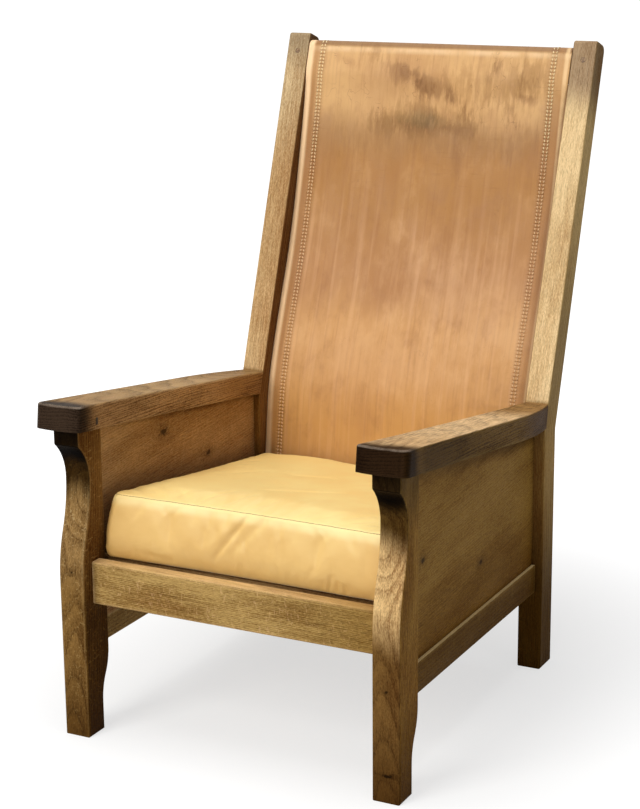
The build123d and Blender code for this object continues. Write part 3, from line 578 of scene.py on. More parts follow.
def outward(piece):
    """Merges a closed mesh's doubles and turns its faces outwards."""
    form = bmesh.new()
    form.from_mesh(piece.data)
    bmesh.ops.remove_doubles(form, verts=form.verts, dist=1e-6)
    bmesh.ops.recalc_face_normals(form, faces=form.faces)
    form.to_mesh(piece.data)
    form.free()


def on_rake(depth, drop):
    """Y and Z of a point behind the posts' raked front face and below their top."""
    return Vector((POST_TOP_FRONT + depth * cos(RAKE) - drop * sin(RAKE),
                   POST_HEIGHT - depth * sin(RAKE) - drop * cos(RAKE)))


def straight(first, last, steps):
    """Points from one place towards another, without the last."""
    return [first.lerp(last, i / steps) for i in range(steps)]


def bend(centre, radius, first, last, steps=7):
    """Points round part of a circle, without the last; the two directions are square to each other."""
    return [centre + radius * (cos(i / steps * pi / 2) * first + sin(i / steps * pi / 2) * last)
            for i in range(steps)]


def smooth_run(points, first_pull, last_pull, steps):
    """Points along a smooth curve through some places, without the last."""
    stretches = [(b - a).length for a, b in zip(points, points[1:])]
    pulls = [first_pull]
    for i in range(1, len(points) - 1):
        pulls.append((points[i + 1] - points[i - 1]) / (stretches[i - 1] + stretches[i]))
    pulls.append(last_pull)
    run = []
    for i, length in enumerate(stretches):
        count = max(2, round(steps * length / sum(stretches)))
        for k in range(count):
            t = k / count
            place = (2 * t ** 3 - 3 * t ** 2 + 1) * points[i] + (3 * t ** 2 - 2 * t ** 3) * points[i + 1]
            pull = (t ** 3 - 2 * t ** 2 + t) * pulls[i] + (t ** 3 - t ** 2) * pulls[i + 1]
            run.append(place + length * pull)
    return run


# The sling's run over both rails
RUN_STEPS, EDGE_STEPS, FACE_STEPS, HANG_STEPS = 6, 2, 8, 130


def hide_line(out):
    """The run of one face of the hide, from its end behind the top rail to its end behind the lower one."""
    deep, down = Vector((cos(RAKE), -sin(RAKE))), Vector((-sin(RAKE), -cos(RAKE)))
    y, z = Vector((1, 0)), Vector((0, 1))
    front, back = HIDE_REACH, HIDE_REACH + TOP_RAIL_THICKNESS
    r = RAIL_ROUND
    top, foot = TOP_RAIL_DROP, SLING_RAIL_BOTTOM
    start = on_rake(front - out, top + TOP_RAIL_HEIGHT - r)
    stop = Vector((SLING_RAIL_FRONT - out, SLING_RAIL_TOP - r))
    line = straight(on_rake(back + out, top + TOP_TAIL), on_rake(back + out, top + r), RUN_STEPS)
    line += bend(on_rake(back - r, top + r), r + out, deep, -down)
    line += straight(on_rake(back - r, top - out), on_rake(front + r, top - out), EDGE_STEPS)
    line += bend(on_rake(front + r, top + r), r + out, -down, -deep)
    line += straight(on_rake(front - out, top + r), start, FACE_STEPS)
    hang = [start] + [start.lerp(stop, share) for share, _ in SAG_SHARES] + [stop]
    for point, (_, behind) in zip(hang[1:], SAG_SHARES):
        point.x += SAG * behind
    line += smooth_run(hang, down, -z, HANG_STEPS)
    line += straight(stop, Vector((SLING_RAIL_FRONT - out, foot + r)), RUN_STEPS)
    line += bend(Vector((SLING_RAIL_FRONT + r, foot + r)), r + out, -y, -z)
    line += straight(Vector((SLING_RAIL_FRONT + r, foot - out)), Vector((SLING_RAIL_BACK - r, foot - out)),
                     EDGE_STEPS)
    line += bend(Vector((SLING_RAIL_BACK - r, foot + r)), r + out, -z, y)
    end = Vector((SLING_RAIL_BACK + out, foot + BOTTOM_TAIL))
    line += straight(Vector((SLING_RAIL_BACK + out, foot + r)), end, RUN_STEPS) + [end]
    return np.array([tuple(p) for p in line])


inner_line, outer_line = hide_line(HIDE_GAP), hide_line(HIDE_REACH)
middle_line = (inner_line + outer_line) / 2
hide_run = np.concatenate([[0], np.cumsum(np.linalg.norm(np.diff(middle_line, axis=0), axis=1))])
hide_run /= hide_run[-1]


def hide_point(row, x, out):
    """A point of the hide: how far down its run, how far across and how far out from the rails."""
    line = inner_line[row] + (outer_line[row] - inner_line[row]) * (out - HIDE_GAP) / (HIDE_REACH - HIDE_GAP)
    s = hide_run[row]
    free = max(0.0, min(1.0, (s - HANG_FROM) / HANG_EASE, (HANG_TO - s) / HANG_EASE))
    free = free * free * (3 - 2 * free)
    inside = 1 - (x / HIDE_HALF) ** 2
    # Three sets of slight waves, the middle one only away from the edges
    ripple = 0.00035 * sin(x * 118 + 3.1 * sin(s * 9)) + 0.0003 * sin(x * 61 + s * 23) * inside
    ripple += 0.0002 * sin(x * 240 + s * 14)
    off_rails = max(0.0, min(1.0, (s - CURL_FROM) / CURL_EASE, (CURL_TO - s) / CURL_EASE))
    curl = EDGE_CURL * max(0.0, (abs(x) - EDGE_CURL_FROM) / (HIDE_HALF - EDGE_CURL_FROM)) ** 2 * off_rails
    outwards = (outer_line[row] - inner_line[row]) / np.linalg.norm(outer_line[row] - inner_line[row])
    line = line + outwards * (free * (ripple - HIDE_BELLY * inside) - curl)
    return (x, line[0], line[1])


def strip(name, section, material):
    """A piece swept along the hide's run; the section is a closed loop of places across and out."""
    rows, count = len(hide_run), len(section)
    points = [hide_point(row, x, out) for row in range(rows) for x, out in section]
    faces = [(row * count + i, row * count + (i + 1) % count, (row + 1) * count + (i + 1) % count,
              (row + 1) * count + i) for row in range(rows - 1) for i in range(count)]
    faces += [tuple(range(count))[::-1], tuple((rows - 1) * count + i for i in range(count))]
    piece = new_piece(name, points, faces, material)
    down = piece.data.attributes.new("down", "FLOAT", "POINT")
    down.data.foreach_set("value", [hide_run[row] * HIDE_LENGTH for row in range(rows) for _ in section])
    outs = [out for _, out in section]
    middle = (min(outs) + max(outs)) / 2
    face = piece.data.attributes.new("grain_side", "FLOAT", "POINT")
    face.data.foreach_set("value", [float(out > middle) for _ in range(rows) for out in outs])
    outward(piece)
    return piece


# Old marks on the hide: place across and up, lean down to the right in degrees, reaches along and across it,
# depth, and the factors that it darkens by; a depth below 0 is a pale patch, a rub with painted sheen on it,
# with a colour in their place
OLD_MARKS = (
    ((-0.006, 0.957), 0, 0.14, 0.036, 0.95, (0.5, 0.42, 0.27)),
    ((-0.012, 0.957), 0, 0.06, 0.016, 0.75, (0.7, 0.82, 0.84)),
    ((0.01, 0.93), 2, 0.24, 0.04, 0.65, (0.7, 0.62, 0.5)),
    ((-0.07, 1.042), 27, 0.075, 0.022, 0.85, (0.48, 0.38, 0.25)),
    ((0.0, 1.017), 24, 0.07, 0.022, 0.9, (0.44, 0.34, 0.22)),
    ((0.03, 1.02), 75, 0.04, 0.012, 0.7, (0.48, 0.38, 0.25)),
    ((0.119, 1.05), -62, 0.03, 0.012, 0.8, (0.48, 0.38, 0.25)),
    ((0.185, 1.035), -35, 0.08, 0.035, 0.9, (0.6, 0.53, 0.38)),
    ((0.186, 1.003), 10, 0.03, 0.012, 0.6, (0.5, 0.38, 0.24)),
    ((-0.175, 1.058), 20, 0.03, 0.012, 0.5, (0.6, 0.48, 0.34)),
    ((-0.02, 1.03), 20, 0.17, 0.06, 0.5, (0.66, 0.54, 0.4)),
    ((0.15, 1.03), 0, 0.12, 0.06, 0.65, (0.62, 0.54, 0.42)),
    ((0.063, 0.884), 88, 0.06, 0.012, 0.5, (0.66, 0.56, 0.44)),
    ((0.205, 0.905), 60, 0.07, 0.04, 0.4, (0.66, 0.56, 0.5)),
    ((-0.2, 0.9), 70, 0.08, 0.045, 0.3, (0.68, 0.58, 0.5)),
    ((0.12, 0.64), 20, 0.2, 0.11, -0.18, (236, 190, 146)),
    ((-0.04, 0.53), 0, 0.22, 0.08, -0.2, (236, 188, 140)))


def hide_leather():
    """Tan saddle hide: sun-paled, rubbed, with faint drawn streaks, old stains, scuffs and puckered hems,
    with painted shade in its puckers, on its rolled top and by the posts, and painted highlights and sheen on
    its rolled edges and pale patches.
    """
    made, shader, place = new_material("tan sling hide")
    tree = made.node_tree
    grain = use(tree, leather_grain, {"Place": place, "Pebble": 620.0, "Cloud": 9.0})
    down = put(tree, "Attribute", attribute_name="down").outputs["Fac"]
    grain_side = put(tree, "Attribute", attribute_name="grain_side").outputs["Fac"]
    x, _, z = split(place)
    side = calc("ABSOLUTE", x)
    drawn = noise(place, (170, 8, 6), 3.0, 0.6)
    broad = noise(place, (7, 4, 5), 3.0, 0.55)
    soft = noise(place, (26, 10, 16), 5.0, 0.6, 0.2)
    wander = plus(z, fade(broad, 0.2, 0.8, -0.035, 0.035))
    ribs = times(fade(noise(place, (84, 4, 2.6)), 0.46, 0.7), fade(z, 0.9, 0.7, 0.04, 0.2))
    band = times(fade(wander, 0.88, 0.94), fade(wander, 1.0, 0.95), 0.22)
    colour = coat(srgb(202, 151, 95),
                  (fade(wander, 0.58, 0.68), (179, 129, 81)),
                  (fade(wander, 0.68, 0.84), (170, 120, 64)),
                  (fade(wander, 0.89, 1.0), (209, 164, 108)),
                  (fade(wander, 0.50, 0.40), (204, 152, 88)),
                  (fade(soft, 0.5, 0.75, 0.0, 0.34), (150, 100, 58)),
                  (fade(soft, 0.5, 0.25, 0.0, 0.16), (232, 186, 130)),
                  (fade(drawn, 0.5, 0.72, 0.0, 0.24), (150, 98, 54)),
                  (ribs, (232, 184, 138)),
                  (fade(broad, 0.52, 0.72, 0.0, 0.25), (158, 106, 62)),
                  (band, (110, 76, 44)))
    striated = noise(place, (120, 16, 24), 4.0, 0.65)
    uneven = plus(fade(soft, 0.25, 0.75, -0.4, 0.4), fade(striated, 0.25, 0.75, -0.45, 0.45))
    for (across, up), lean, length, width, depth, shade in OLD_MARKS:
        mark = use(tree, old_mark, {"Place": place, "Middle": (across, 0, up), "Lean": radians(-lean),
                                    "Along": length, "Across": width, "Uneven": uneven})[0]
        mark = times(mark, fade(striated, 0.36, 0.6, abs(depth) * 0.55, abs(depth)))
        colour = darken(mark, colour, shade) if depth > 0 else coat(colour, (mark, shade))
    # Drawn wrinkles that run across, below the old stain
    here_and_there = fade(noise(place, 8.0), 0.46, 0.6, 0.0, 0.2)
    wrinkles = times(fade(noise(place, (26, 12, 330)), 0.58, 0.72), here_and_there)
    wrinkles = times(wrinkles, fade(z, 0.8, 0.86), fade(z, 0.97, 0.93))
    colour = coat(colour, (wrinkles, (132, 84, 42)))
    # The flesh side, behind: pale, matt and fibrous
    hem_line = HIDE_HALF - HEM_WIDTH
    flesh = times(minus(1.0, grain_side), fade(side, hem_line + 0.001, hem_line - 0.001))
    fibre = noise(place, (520, 300, 210), 3.0, 0.7, 1.5)
    suede = coat(srgb(206, 168, 120), (fade(fibre, 0.35, 0.65), (178, 136, 90)),
                 (fade(broad, 0.35, 0.7, 0.0, 0.45), (158, 114, 72)))
    colour = tint(flesh, colour, suede)
    # Scuffs: thin lines, mostly near the top
    scuffs = fade(calc("ABSOLUTE", minus(noise(place, (34, 15, 30)), 0.5)), 0.006, 0.0)
    scuffs = times(scuffs, fade(noise(place, 22.0, 1.0), 0.52, 0.64), fade(z, 0.9, 1.0, 0.25, 1.0),
                   minus(0.6, times(flesh, 0.6)))
    # Over the top rail: the rolled edge darkened as dirt and painted shade, and a pale line under it, rubbed
    # and painted as a highlight
    rubbed_and_lit = times(fade(z, 1.072, 1.081), fade(z, 1.087, 1.082), fade(soft, 0.3, 0.6, 0.15, 0.55))
    # Hems: the hide is pinched at each stitch, with painted shade in the pinches and beside the rows, and a
    # painted highlight along the rolled edge
    pitch = calc("FRACT", calc("DIVIDE", down, STITCH_PITCH))
    row = calc("ABSOLUTE", minus(side, HIDE_HALF - sum(STITCH_INSETS) / 2))
    pinch = times(fade(calc("ABSOLUTE", minus(pitch, 0.5)), 0.2, 0.44), fade(row, 0.0085, 0.003))
    shaded = times(fade(side, 0.236, 0.243), fade(side, 0.254, 0.248), fade(broad, 0.3, 0.6, 0.35, 0.8))
    rolled_highlight = times(fade(side, 0.25, 0.254), fade(side, 0.2605, 0.2575), fade(soft, 0.3, 0.6, 0.35, 0.75))
    # Painted shade: the hide darkens in the corner beside the right post, and a little beside the left
    corner = put(tree, "AmbientOcclusion", {"Distance": 0.04}, samples=8).outputs["AO"]
    corner = times(fade(corner, 0.84, 0.66), fade(x, -0.1, 0.1, 0.12, 0.6))
    colour = coat(colour,
                  (scuffs, (110, 66, 30)),
                  (rubbed_and_lit, (238, 204, 160)),
                  (fade(z, 1.083, 1.089, 0.0, 0.7), (104, 68, 36)),
                  (fade(row, 0.012, 0.006, 0.0, 0.2), (120, 76, 40)),
                  (times(pinch, fade(soft, 0.35, 0.6, 0.2, 0.45)), (112, 68, 32)),
                  (shaded, (158, 108, 58)),
                  (rolled_highlight, (238, 200, 148)),
                  # The left edge: a painted highlight on its roll, and its very rim darkened with painted
                  # shade beside the post
                  (fade(x, -0.246, -0.255, 0.0, 0.95), (244, 206, 160)),
                  (fade(x, -0.2605, -0.2622, 0.0, 0.5), (120, 74, 40)),
                  (corner, (92, 56, 26)))
    height = minus(plus(grain["Height"], times(soft, 6.0)), times(pinch, 5.0))
    height = plus(plus(height, times(drawn, 1.2)), times(fibre, flesh, 4.0))
    rough = calc("MAXIMUM", fade(grain["Cloud"], 0.3, 0.7, 0.36, 0.52), times(flesh, 0.9))
    fill(shader, {"Base Color": colour, "Roughness": rough, "Normal": bump(height, 0.0004, 0.5),
                  "Specular IOR Level": 0.3})
    return made


def section_of_sheet(low, high, near, far, steps):
    """A flat closed section with round edges, from one place across to another."""
    thick, middle = (far - near) / 2, (near + far) / 2
    wide = high - low - 2 * thick
    rounds = (pi / 4, pi / 2, 3 * pi / 4)
    loop = [(low + thick + wide * i / steps, far) for i in range(steps + 1)]
    loop += [(high - thick + thick * sin(a), middle + thick * cos(a)) for a in rounds]
    loop += [(high - thick - wide * i / steps, near) for i in range(steps + 1)]
    loop += [(low + thick - thick * sin(a), middle - thick * cos(a)) for a in rounds]
    return loop


tan_hide = hide_leather()
hide_section = section_of_sheet(-HIDE_HALF, HIDE_HALF, HIDE_GAP + FLAP, HIDE_REACH, 86)
sling = strip("leather_hide", hide_section, tan_hide)
hems = []
for side, sign in (("left", -1), ("right", 1)):
    edges = sorted((sign * (HIDE_HALF - HEM_SETBACK), sign * (HIDE_HALF - HEM_WIDTH)))
    hems.append(strip(f"turned_hem_{side}", section_of_sheet(*edges, HIDE_GAP, HIDE_GAP + FLAP, 6), tan_hide))


# Stitches and teeth
def bead_tree(name, material, sizes, segments, rings):
    """A geometry tree that lays a bead on each point, along the way that the point lies.

    The sizes are its named inputs.
    """
    tree = bpy.data.node_groups.new(name, "GeometryNodeTree")
    tree.interface.new_socket("Geometry", in_out="INPUT", socket_type="NodeSocketGeometry")
    for label, value in sizes.items():
        tree.interface.new_socket(label, in_out="INPUT", socket_type="NodeSocketFloat").default_value = value
    tree.interface.new_socket("Geometry", in_out="OUTPUT", socket_type="NodeSocketGeometry")
    given, out = tree.nodes.new("NodeGroupInput").outputs, tree.nodes.new("NodeGroupOutput")
    ball = put(tree, "GeometryNodeMeshUVSphere", {"Segments": segments, "Rings": rings, "Radius": 0.5})
    bead = put(tree, "GeometryNodeTransform", {
        "Geometry": ball.outputs[0], "Scale": join(given["Thickness"], given["Thickness"], given["Length"])})
    lie = put(tree, "GeometryNodeInputNamedAttribute", {"Name": "lie"}, data_type="FLOAT_VECTOR")
    turned = put(tree, "FunctionNodeAlignRotationToVector", {"Vector": lie.outputs["Attribute"]}, axis="Z")
    uneven = put(tree, "FunctionNodeRandomValue", {2: 0.9, 3: 1.1, "Seed": 7}, data_type="FLOAT")
    laid = put(tree, "GeometryNodeInstanceOnPoints", {
        "Points": given["Geometry"], "Instance": bead.outputs[0], "Rotation": turned.outputs[0],
        "Scale": uneven.outputs[1]})
    real = put(tree, "GeometryNodeRealizeInstances", {0: laid.outputs[0]})
    shaded = put(tree, "GeometryNodeSetShadeSmooth", {0: real.outputs[0], "Shade Smooth": True})
    finish = put(tree, "GeometryNodeSetMaterial", {0: shaded.outputs[0], "Material": material})
    fill(out, {0: finish.outputs[0]})
    return tree


def beads(name, places, lies, material, length, thickness, segments=8, rings=5):
    """Many small things of one size, each at its place and lying its own way, as one plain mesh piece."""
    sizes = {"Length": length, "Thickness": thickness}
    mesh = bpy.data.meshes.new(name + "_places")
    mesh.from_pydata([tuple(p) for p in places], [], [])
    lie = mesh.attributes.new("lie", "FLOAT_VECTOR", "POINT")
    lie.data.foreach_set("vector", [float(c) for way in lies for c in way])
    carrier = bpy.data.objects.new(name + "_places", mesh)
    bpy.context.scene.collection.objects.link(carrier)
    modifier = carrier.modifiers.new("laid", "NODES")
    modifier.node_group = bead_tree(name.replace("_", " "), material, sizes, segments, rings)
    for item in modifier.node_group.interface.items_tree:
        if item.in_out == "INPUT" and item.name in sizes:
            modifier[item.identifier] = sizes[item.name]
    graph = bpy.context.evaluated_depsgraph_get()
    made = bpy.data.meshes.new_from_object(carrier.evaluated_get(graph), depsgraph=graph)
    bpy.data.objects.remove(carrier)
    made.name = name
    piece = bpy.data.objects.new(name, made)
    bpy.context.scene.collection.objects.link(piece)
    return piece


def thread_material(name, colour, soiled=None):
    """Waxed linen thread with a fine twist; soiled is its colour lower down, where it is handled."""
    made, shader, place = new_material(name)
    twist = noise(place, 1800.0, 1.0)
    shade = srgb(*colour)
    if soiled:
        height = plus(split(place)[2], fade(noise(place, 14.0, 3.0), 0.3, 0.7, -0.06, 0.06))
        shade = coat(shade, (fade(height, 1.0, 0.86), soiled))
    shade = darken(fade(twist, 0.35, 0.65), shade, (0.7, 0.68, 0.65))
    fill(shader, {"Base Color": shade, "Roughness": 0.6, "Normal": bump(twist, 0.0002, 0.4)})
    return made


# Two rows of stitches in each hem, on the hide's face for nearly all of its run and behind it where it hangs
pale_thread = thread_material("pale waxed thread", (244, 222, 172), (232, 194, 148))
places, lies = [], []
for sign in (-1, 1):
    for inset, lean in zip(STITCH_INSETS, (-STITCH_LEAN, STITCH_LEAN)):
        for out, first, last in ((HIDE_REACH + 0.0001, 0.01, 0.99), (HIDE_GAP - 0.0001, 0.12, 0.88)):
            line = [Vector(hide_point(r, sign * (HIDE_HALF - inset), out)) for r in range(len(hide_run))]
            for k in range(int(first * HIDE_LENGTH / STITCH_PITCH), int(last * HIDE_LENGTH / STITCH_PITCH)):
                share = (k + 0.5) * STITCH_PITCH / HIDE_LENGTH
                row = int(np.searchsorted(hide_run, share)) - 1
                between = (share - hide_run[row]) / (hide_run[row + 1] - hide_run[row])
                places.append(line[row].lerp(line[row + 1], between))
                lies.append((line[row + 1] - line[row]).normalized() + Vector((lean, 0, 0)))
hem_stitches = beads("hem_stitches", places, lies, pale_thread, STITCH_LENGTH, STITCH_THREAD)

for piece in [sling, hem_stitches] + hems:
    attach(piece, "frame")
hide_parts("leather_sling")


# Cushion
def cushion_leather():
    """Soft pale hide with blotches and a worn sheen, painted paler on top as light from above, and with a
    painted highlight under the seam.
    """
    made, shader, place = new_material("pale cushion hide")
    tree = made.node_tree
    grain = use(tree, leather_grain, {"Place": place, "Pebble": 700.0, "Cloud": 7.0})
    cloud = noise(place, (5, 5, 9), 4.0, 0.6)
    blotched = fade(cloud, 0.3, 0.7)
    looks = put(tree, "NewGeometry").outputs["Normal"]
    across = plus(split(place)[0], fade(cloud, 0.2, 0.8, -0.06, 0.06))
    # Painted light: the walls get a darker copy of the hide, and the faces that look up a paler copy
    shaded_walls = coat(srgb(234, 192, 116), (blotched, (222, 176, 100)))
    lit_top = coat(srgb(252, 228, 152), (blotched, (246, 208, 128)),
                 (fade(across, -0.02, -0.2, 0.0, 0.5), (244, 203, 122)))
    colour = tint(fade(vec("DOT_PRODUCT", looks, UP), 0.25, 0.8), shaded_walls, lit_top)
    # A painted highlight: a pale band along the top edge of the boxing, just outside the seam
    tall = vec("DOT_PRODUCT", vec("SUBTRACT", place, CUSHION_BASE), CUSHION_TURN.col[2])
    band = times(fade(tall, 0.086, 0.1), fade(tall, 0.1085, 0.1072), fade(cloud, 0.25, 0.7, 0.65, 0.25))
    handled = fade(grain["Cloud"], 0.5, 0.8, 0.0, 0.3)
    colour = coat(colour, (band, (255, 239, 174)), (handled, (226, 180, 104)))
    height = plus(grain["Height"], times(noise(place, (14, 22, 30), 5.0, 0.62, 0.8), 3.5))
    fill(shader, {"Base Color": colour, "Roughness": fade(grain["Cloud"], 0.3, 0.7, 0.32, 0.44),
                  "Normal": bump(height, 0.0005, 0.5), "Specular IOR Level": 0.5})
    return made


def coordinates(mesh):
    """A mesh's points as an array."""
    values = np.zeros(len(mesh.vertices) * 3, np.float32)
    mesh.vertices.foreach_get("co", values)
    return values.reshape(-1, 3).astype(float)


def set_coordinates(mesh, values):
    """Puts a mesh's points at new places."""
    mesh.vertices.foreach_set("co", np.asarray(values, np.float32).ravel())
    mesh.update()


def plan_place(u, v, inset):
    """A place of the cushion's plan from two shares: a rectangle with round corners and drawn-in sides."""
    a, b, corner = CUSHION_HALF_WIDTH - inset, CUSHION_HALF_LENGTH - inset, CUSHION_CORNER
    x, y = abs(u) * a, abs(v) * b
    p, q = (x - a + corner) / corner, (y - b + corner) / corner
    if p > 0 and q > 0:
        x = a - corner + corner * p * (1 - q * q / 2) ** 0.5
        y = b - corner + corner * q * (1 - p * p / 2) ** 0.5
    x -= CUSHION_WAIST * (1 - (y / b) ** 2) * abs(u) ** 4
    y -= CUSHION_WAIST * (1 - (x / a) ** 2) * abs(v) ** 4
    return (x if u > 0 else -x), (y if v > 0 else -y)


def boxing_inset(t):
    """How far the boxing stands in from its fullest at a share of its height, which is at a fifth of it."""
    if t < 0.2:
        return CUSHION_EDGE * (0.05 + 0.4 * (1 - t / 0.2) ** 2)
    return CUSHION_EDGE * (1 - 0.95 * (1 - ((t - 0.2) / 0.8) ** 2.4) ** 0.75)


def box_cushion():
    """The points and faces of the cushion's two panels and its boxing, and the points of its two seams."""
    across, along, tall = ((88, 92, 18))
    points, faces = [], []

    def add_point(i, j, t, crown=0.0):
        u, v = 2 * i / across - 1, 2 * j / along - 1
        x, y = plan_place(u, v, boxing_inset(t))
        z = CUSHION_FOOT + t * (CUSHION_SEAM - CUSHION_FOOT)
        points.append((x, y, z + crown * (1 - u ** 4) * (1 - v ** 4)))
        return len(points) - 1

    def panel(t, crown, flip):
        first = len(points)
        for j in range(along + 1):
            for i in range(across + 1):
                add_point(i, j, t, crown)
        for j in range(along):
            for i in range(across):
                k = first + j * (across + 1) + i
                face = (k, k + 1, k + across + 2, k + across + 1)
                faces.append(face[::-1] if flip else face)
        return [first + j * (across + 1) + i for i, j in edge]

    edge = ([(i, 0) for i in range(across)] + [(across, j) for j in range(along)]
            + [(i, along) for i in range(across, 0, -1)] + [(0, j) for j in range(along, 0, -1)])
    low, high = panel(0, 0.0, True), panel(1, CUSHION_CROWN * 0.6, False)
    rings = [low] + [[add_point(i, j, k / tall) for i, j in edge] for k in range(1, tall)] + [high]
    for lower, upper in zip(rings, rings[1:]):
        for i in range(len(lower)):
            k = (i + 1) % len(lower)
            faces.append((lower[i], lower[k], upper[k], upper[i]))
    return points, faces, low, high


def baked(piece):
    """A new mesh that is the piece as its modifiers leave it."""
    graph = bpy.context.evaluated_depsgraph_get()
    return bpy.data.meshes.new_from_object(piece.evaluated_get(graph), depsgraph=graph)


CLOTH_STEPS, CLOTH_PRESSURE, CLOTH_STIFFNESS, CLOTH_BENDING, CLOTH_GROWTH = 20, 3.0, 15, 0.4, 0.012
MOST_SWELL = 0.012


def stuffed_cushion(material):
    """The box cushion, stuffed by a cloth simulation that its seams hold, in its own upright frame.

    Gives the piece and the places of its two seams.
    """
    points, faces, low, high = box_cushion()
    piece = new_piece("box_cushion", points, faces, material)
    piece.vertex_groups.new(name="seams").add(sorted(set(low + high)), 1.0, "REPLACE")
    before = coordinates(piece.data)
    cloth = piece.modifiers.new("stuffing", "CLOTH")
    cloth.settings.quality = 6
    cloth.settings.use_pressure = True
    cloth.settings.uniform_pressure_force = CLOTH_PRESSURE
    cloth.settings.effector_weights.gravity = 0.0
    cloth.settings.tension_stiffness = cloth.settings.compression_stiffness = CLOTH_STIFFNESS
    cloth.settings.bending_stiffness = CLOTH_BENDING
    cloth.settings.shrink_min = -CLOTH_GROWTH
    cloth.settings.vertex_group_mass = "seams"
    scene = bpy.context.scene
    for step in range(1, CLOTH_STEPS + 1):
        scene.frame_set(step)
    swollen = baked(piece)
    move = coordinates(swollen) - before
    piece.modifiers.remove(cloth)
    piece.vertex_groups.clear()
    scene.frame_set(1)
    bpy.data.meshes.remove(swollen)
    length = np.linalg.norm(move, axis=1, keepdims=True)
    move *= np.minimum(1.0, MOST_SWELL / np.maximum(length, 1e-9))
    set_coordinates(piece.data, before + move)
    # One subdivision, applied
    modifier = piece.modifiers.new("made", "SUBSURF")
    modifier.levels = modifier.render_levels = 1
    finer, old = baked(piece), piece.data
    piece.modifiers.remove(modifier)
    piece.data = finer
    bpy.data.meshes.remove(old)
    finer.name = "box_cushion"
    finer.polygons.foreach_set("use_smooth", [True] * len(finer.polygons))
    ends = coordinates(finer)
    return piece, [ends[low], ends[high]]


def squeeze(values, low, high, soft):
    """Keeps values inside two limits, bending softly before each."""
    middle, half = (low + high) / 2, (high - low) / 2
    gone = values - middle
    over = np.abs(gone) - (half - soft)
    eased = np.where(over > 0, half - soft + soft * (1 - np.exp(-over / soft)), np.abs(gone))
    return middle + np.sign(gone) * eased


# Soft folds: two ends in millimetres on the face that carries them, depth and width; in the front's table a
# depth below 0 is a swelling
CREASE_STRENGTH = 1.7
FRONT_CREASES = (
    ((8, 107), (-50, 24), 1.7, 4.5), ((-8, 106), (-66, 30), -1.1, 9), ((38, 104), (-24, 34), 0.6, 6),
    ((62, 100), (8, 40), 0.35, 7), ((165, 34), (159, 4), 1.6, 3.5), ((176, 26), (174, 4), 1.4, 3),
    ((187, 24), (190, 4), 1.2, 3), ((152, 24), (148, 6), 0.9, 3.5), ((-190, 18), (-120, 12), 0.8, 5),
    ((214, 100), (226, 30), 0.5, 7))
TOP_CREASES = (
    ((-150, -266), (-118, -190), 0.8, 6), ((-104, -268), (-66, -172), 1.3, 5),
    ((-62, -268), (-26, -168), 1.2, 6), ((-14, -266), (28, -186), 0.8, 7),
    ((40, -262), (80, -150), 0.7, 8), ((-48, -145), (96, -66), 0.9, 7),
    ((-75, 15), (10, 40), 0.8, 7), ((-170, -60), (-110, 40), 0.7, 9), ((90, 60), (200, 90), 0.7, 9))


def crease(form, creases, axes, push_axis, push, where):
    """Presses soft folds into one side of the cushion; axes are the two that their ends are measured on."""
    for start, end, depth, width in creases:
        a, b = np.array(start) / 1000, np.array(end) / 1000
        place = form[:, axes]
        share = np.clip(((place - a) @ (b - a)) / ((b - a) @ (b - a)), 0, 1)
        gap = np.linalg.norm(place - a - share[:, None] * (b - a), axis=1)
        deep = np.exp(-(gap * 1000 / width) ** 2) * (4 * share * (1 - share)) ** 0.5
        form[:, push_axis] += push * CREASE_STRENGTH * depth / 1000 * where * deep


pale_hide = cushion_leather()
cushion, seams = stuffed_cushion(pale_hide)
form = coordinates(cushion.data)
form[:, X] = squeeze(form[:, X], -CUSHION_HALF_WIDTH - 0.001, CUSHION_HALF_WIDTH + 0.001, 0.004)
form[:, Y] = squeeze(form[:, Y], -CUSHION_HALF_LENGTH - 0.002, CUSHION_HALF_LENGTH + 0.002, 0.004)
form[:, Z] = squeeze(form[:, Z], 0.0002, 0.1235, 0.003)
on_front = np.clip((-0.245 - form[:, Y]) / 0.015, 0, 1)
on_top = np.clip((form[:, Z] - 0.1) / 0.008, 0, 1)
crease(form, FRONT_CREASES, [X, Z], Y, 1, on_front)
crease(form, TOP_CREASES, [X, Y], Z, -1, on_top)
# The front wall sags forward over the seat rail
form[:, Y] -= 0.004 * on_front * np.exp(-((form[:, Z] - 0.028) / 0.03) ** 2)

# Each seam pulls the cover in to a narrow groove
GROOVE_DEPTH, GROOVE_WIDTH = 0.0012, 0.003
normals = np.zeros(len(cushion.data.vertices) * 3, np.float32)
set_coordinates(cushion.data, form)
cushion.data.vertex_normals.foreach_get("vector", normals)
normals = normals.reshape(-1, 3)
for line in seams:
    near = np.full(len(form), 9.0)
    for chunk in np.array_split(line, 12):
        near = np.minimum(near, np.linalg.norm(form[:, None, :] - chunk[None], axis=2).min(axis=1))
    form -= normals * (GROOVE_DEPTH * np.exp(-(near / GROOVE_WIDTH) ** 2))[:, None]
set_coordinates(cushion.data, form)
wall_faces = [list(face.vertices) for face in cushion.data.polygons]
wall = BVHTree.FromPolygons([Vector(p) for p in form], wall_faces)
cushion.data.transform(CUSHION_PLACE)
cushion.data.update()


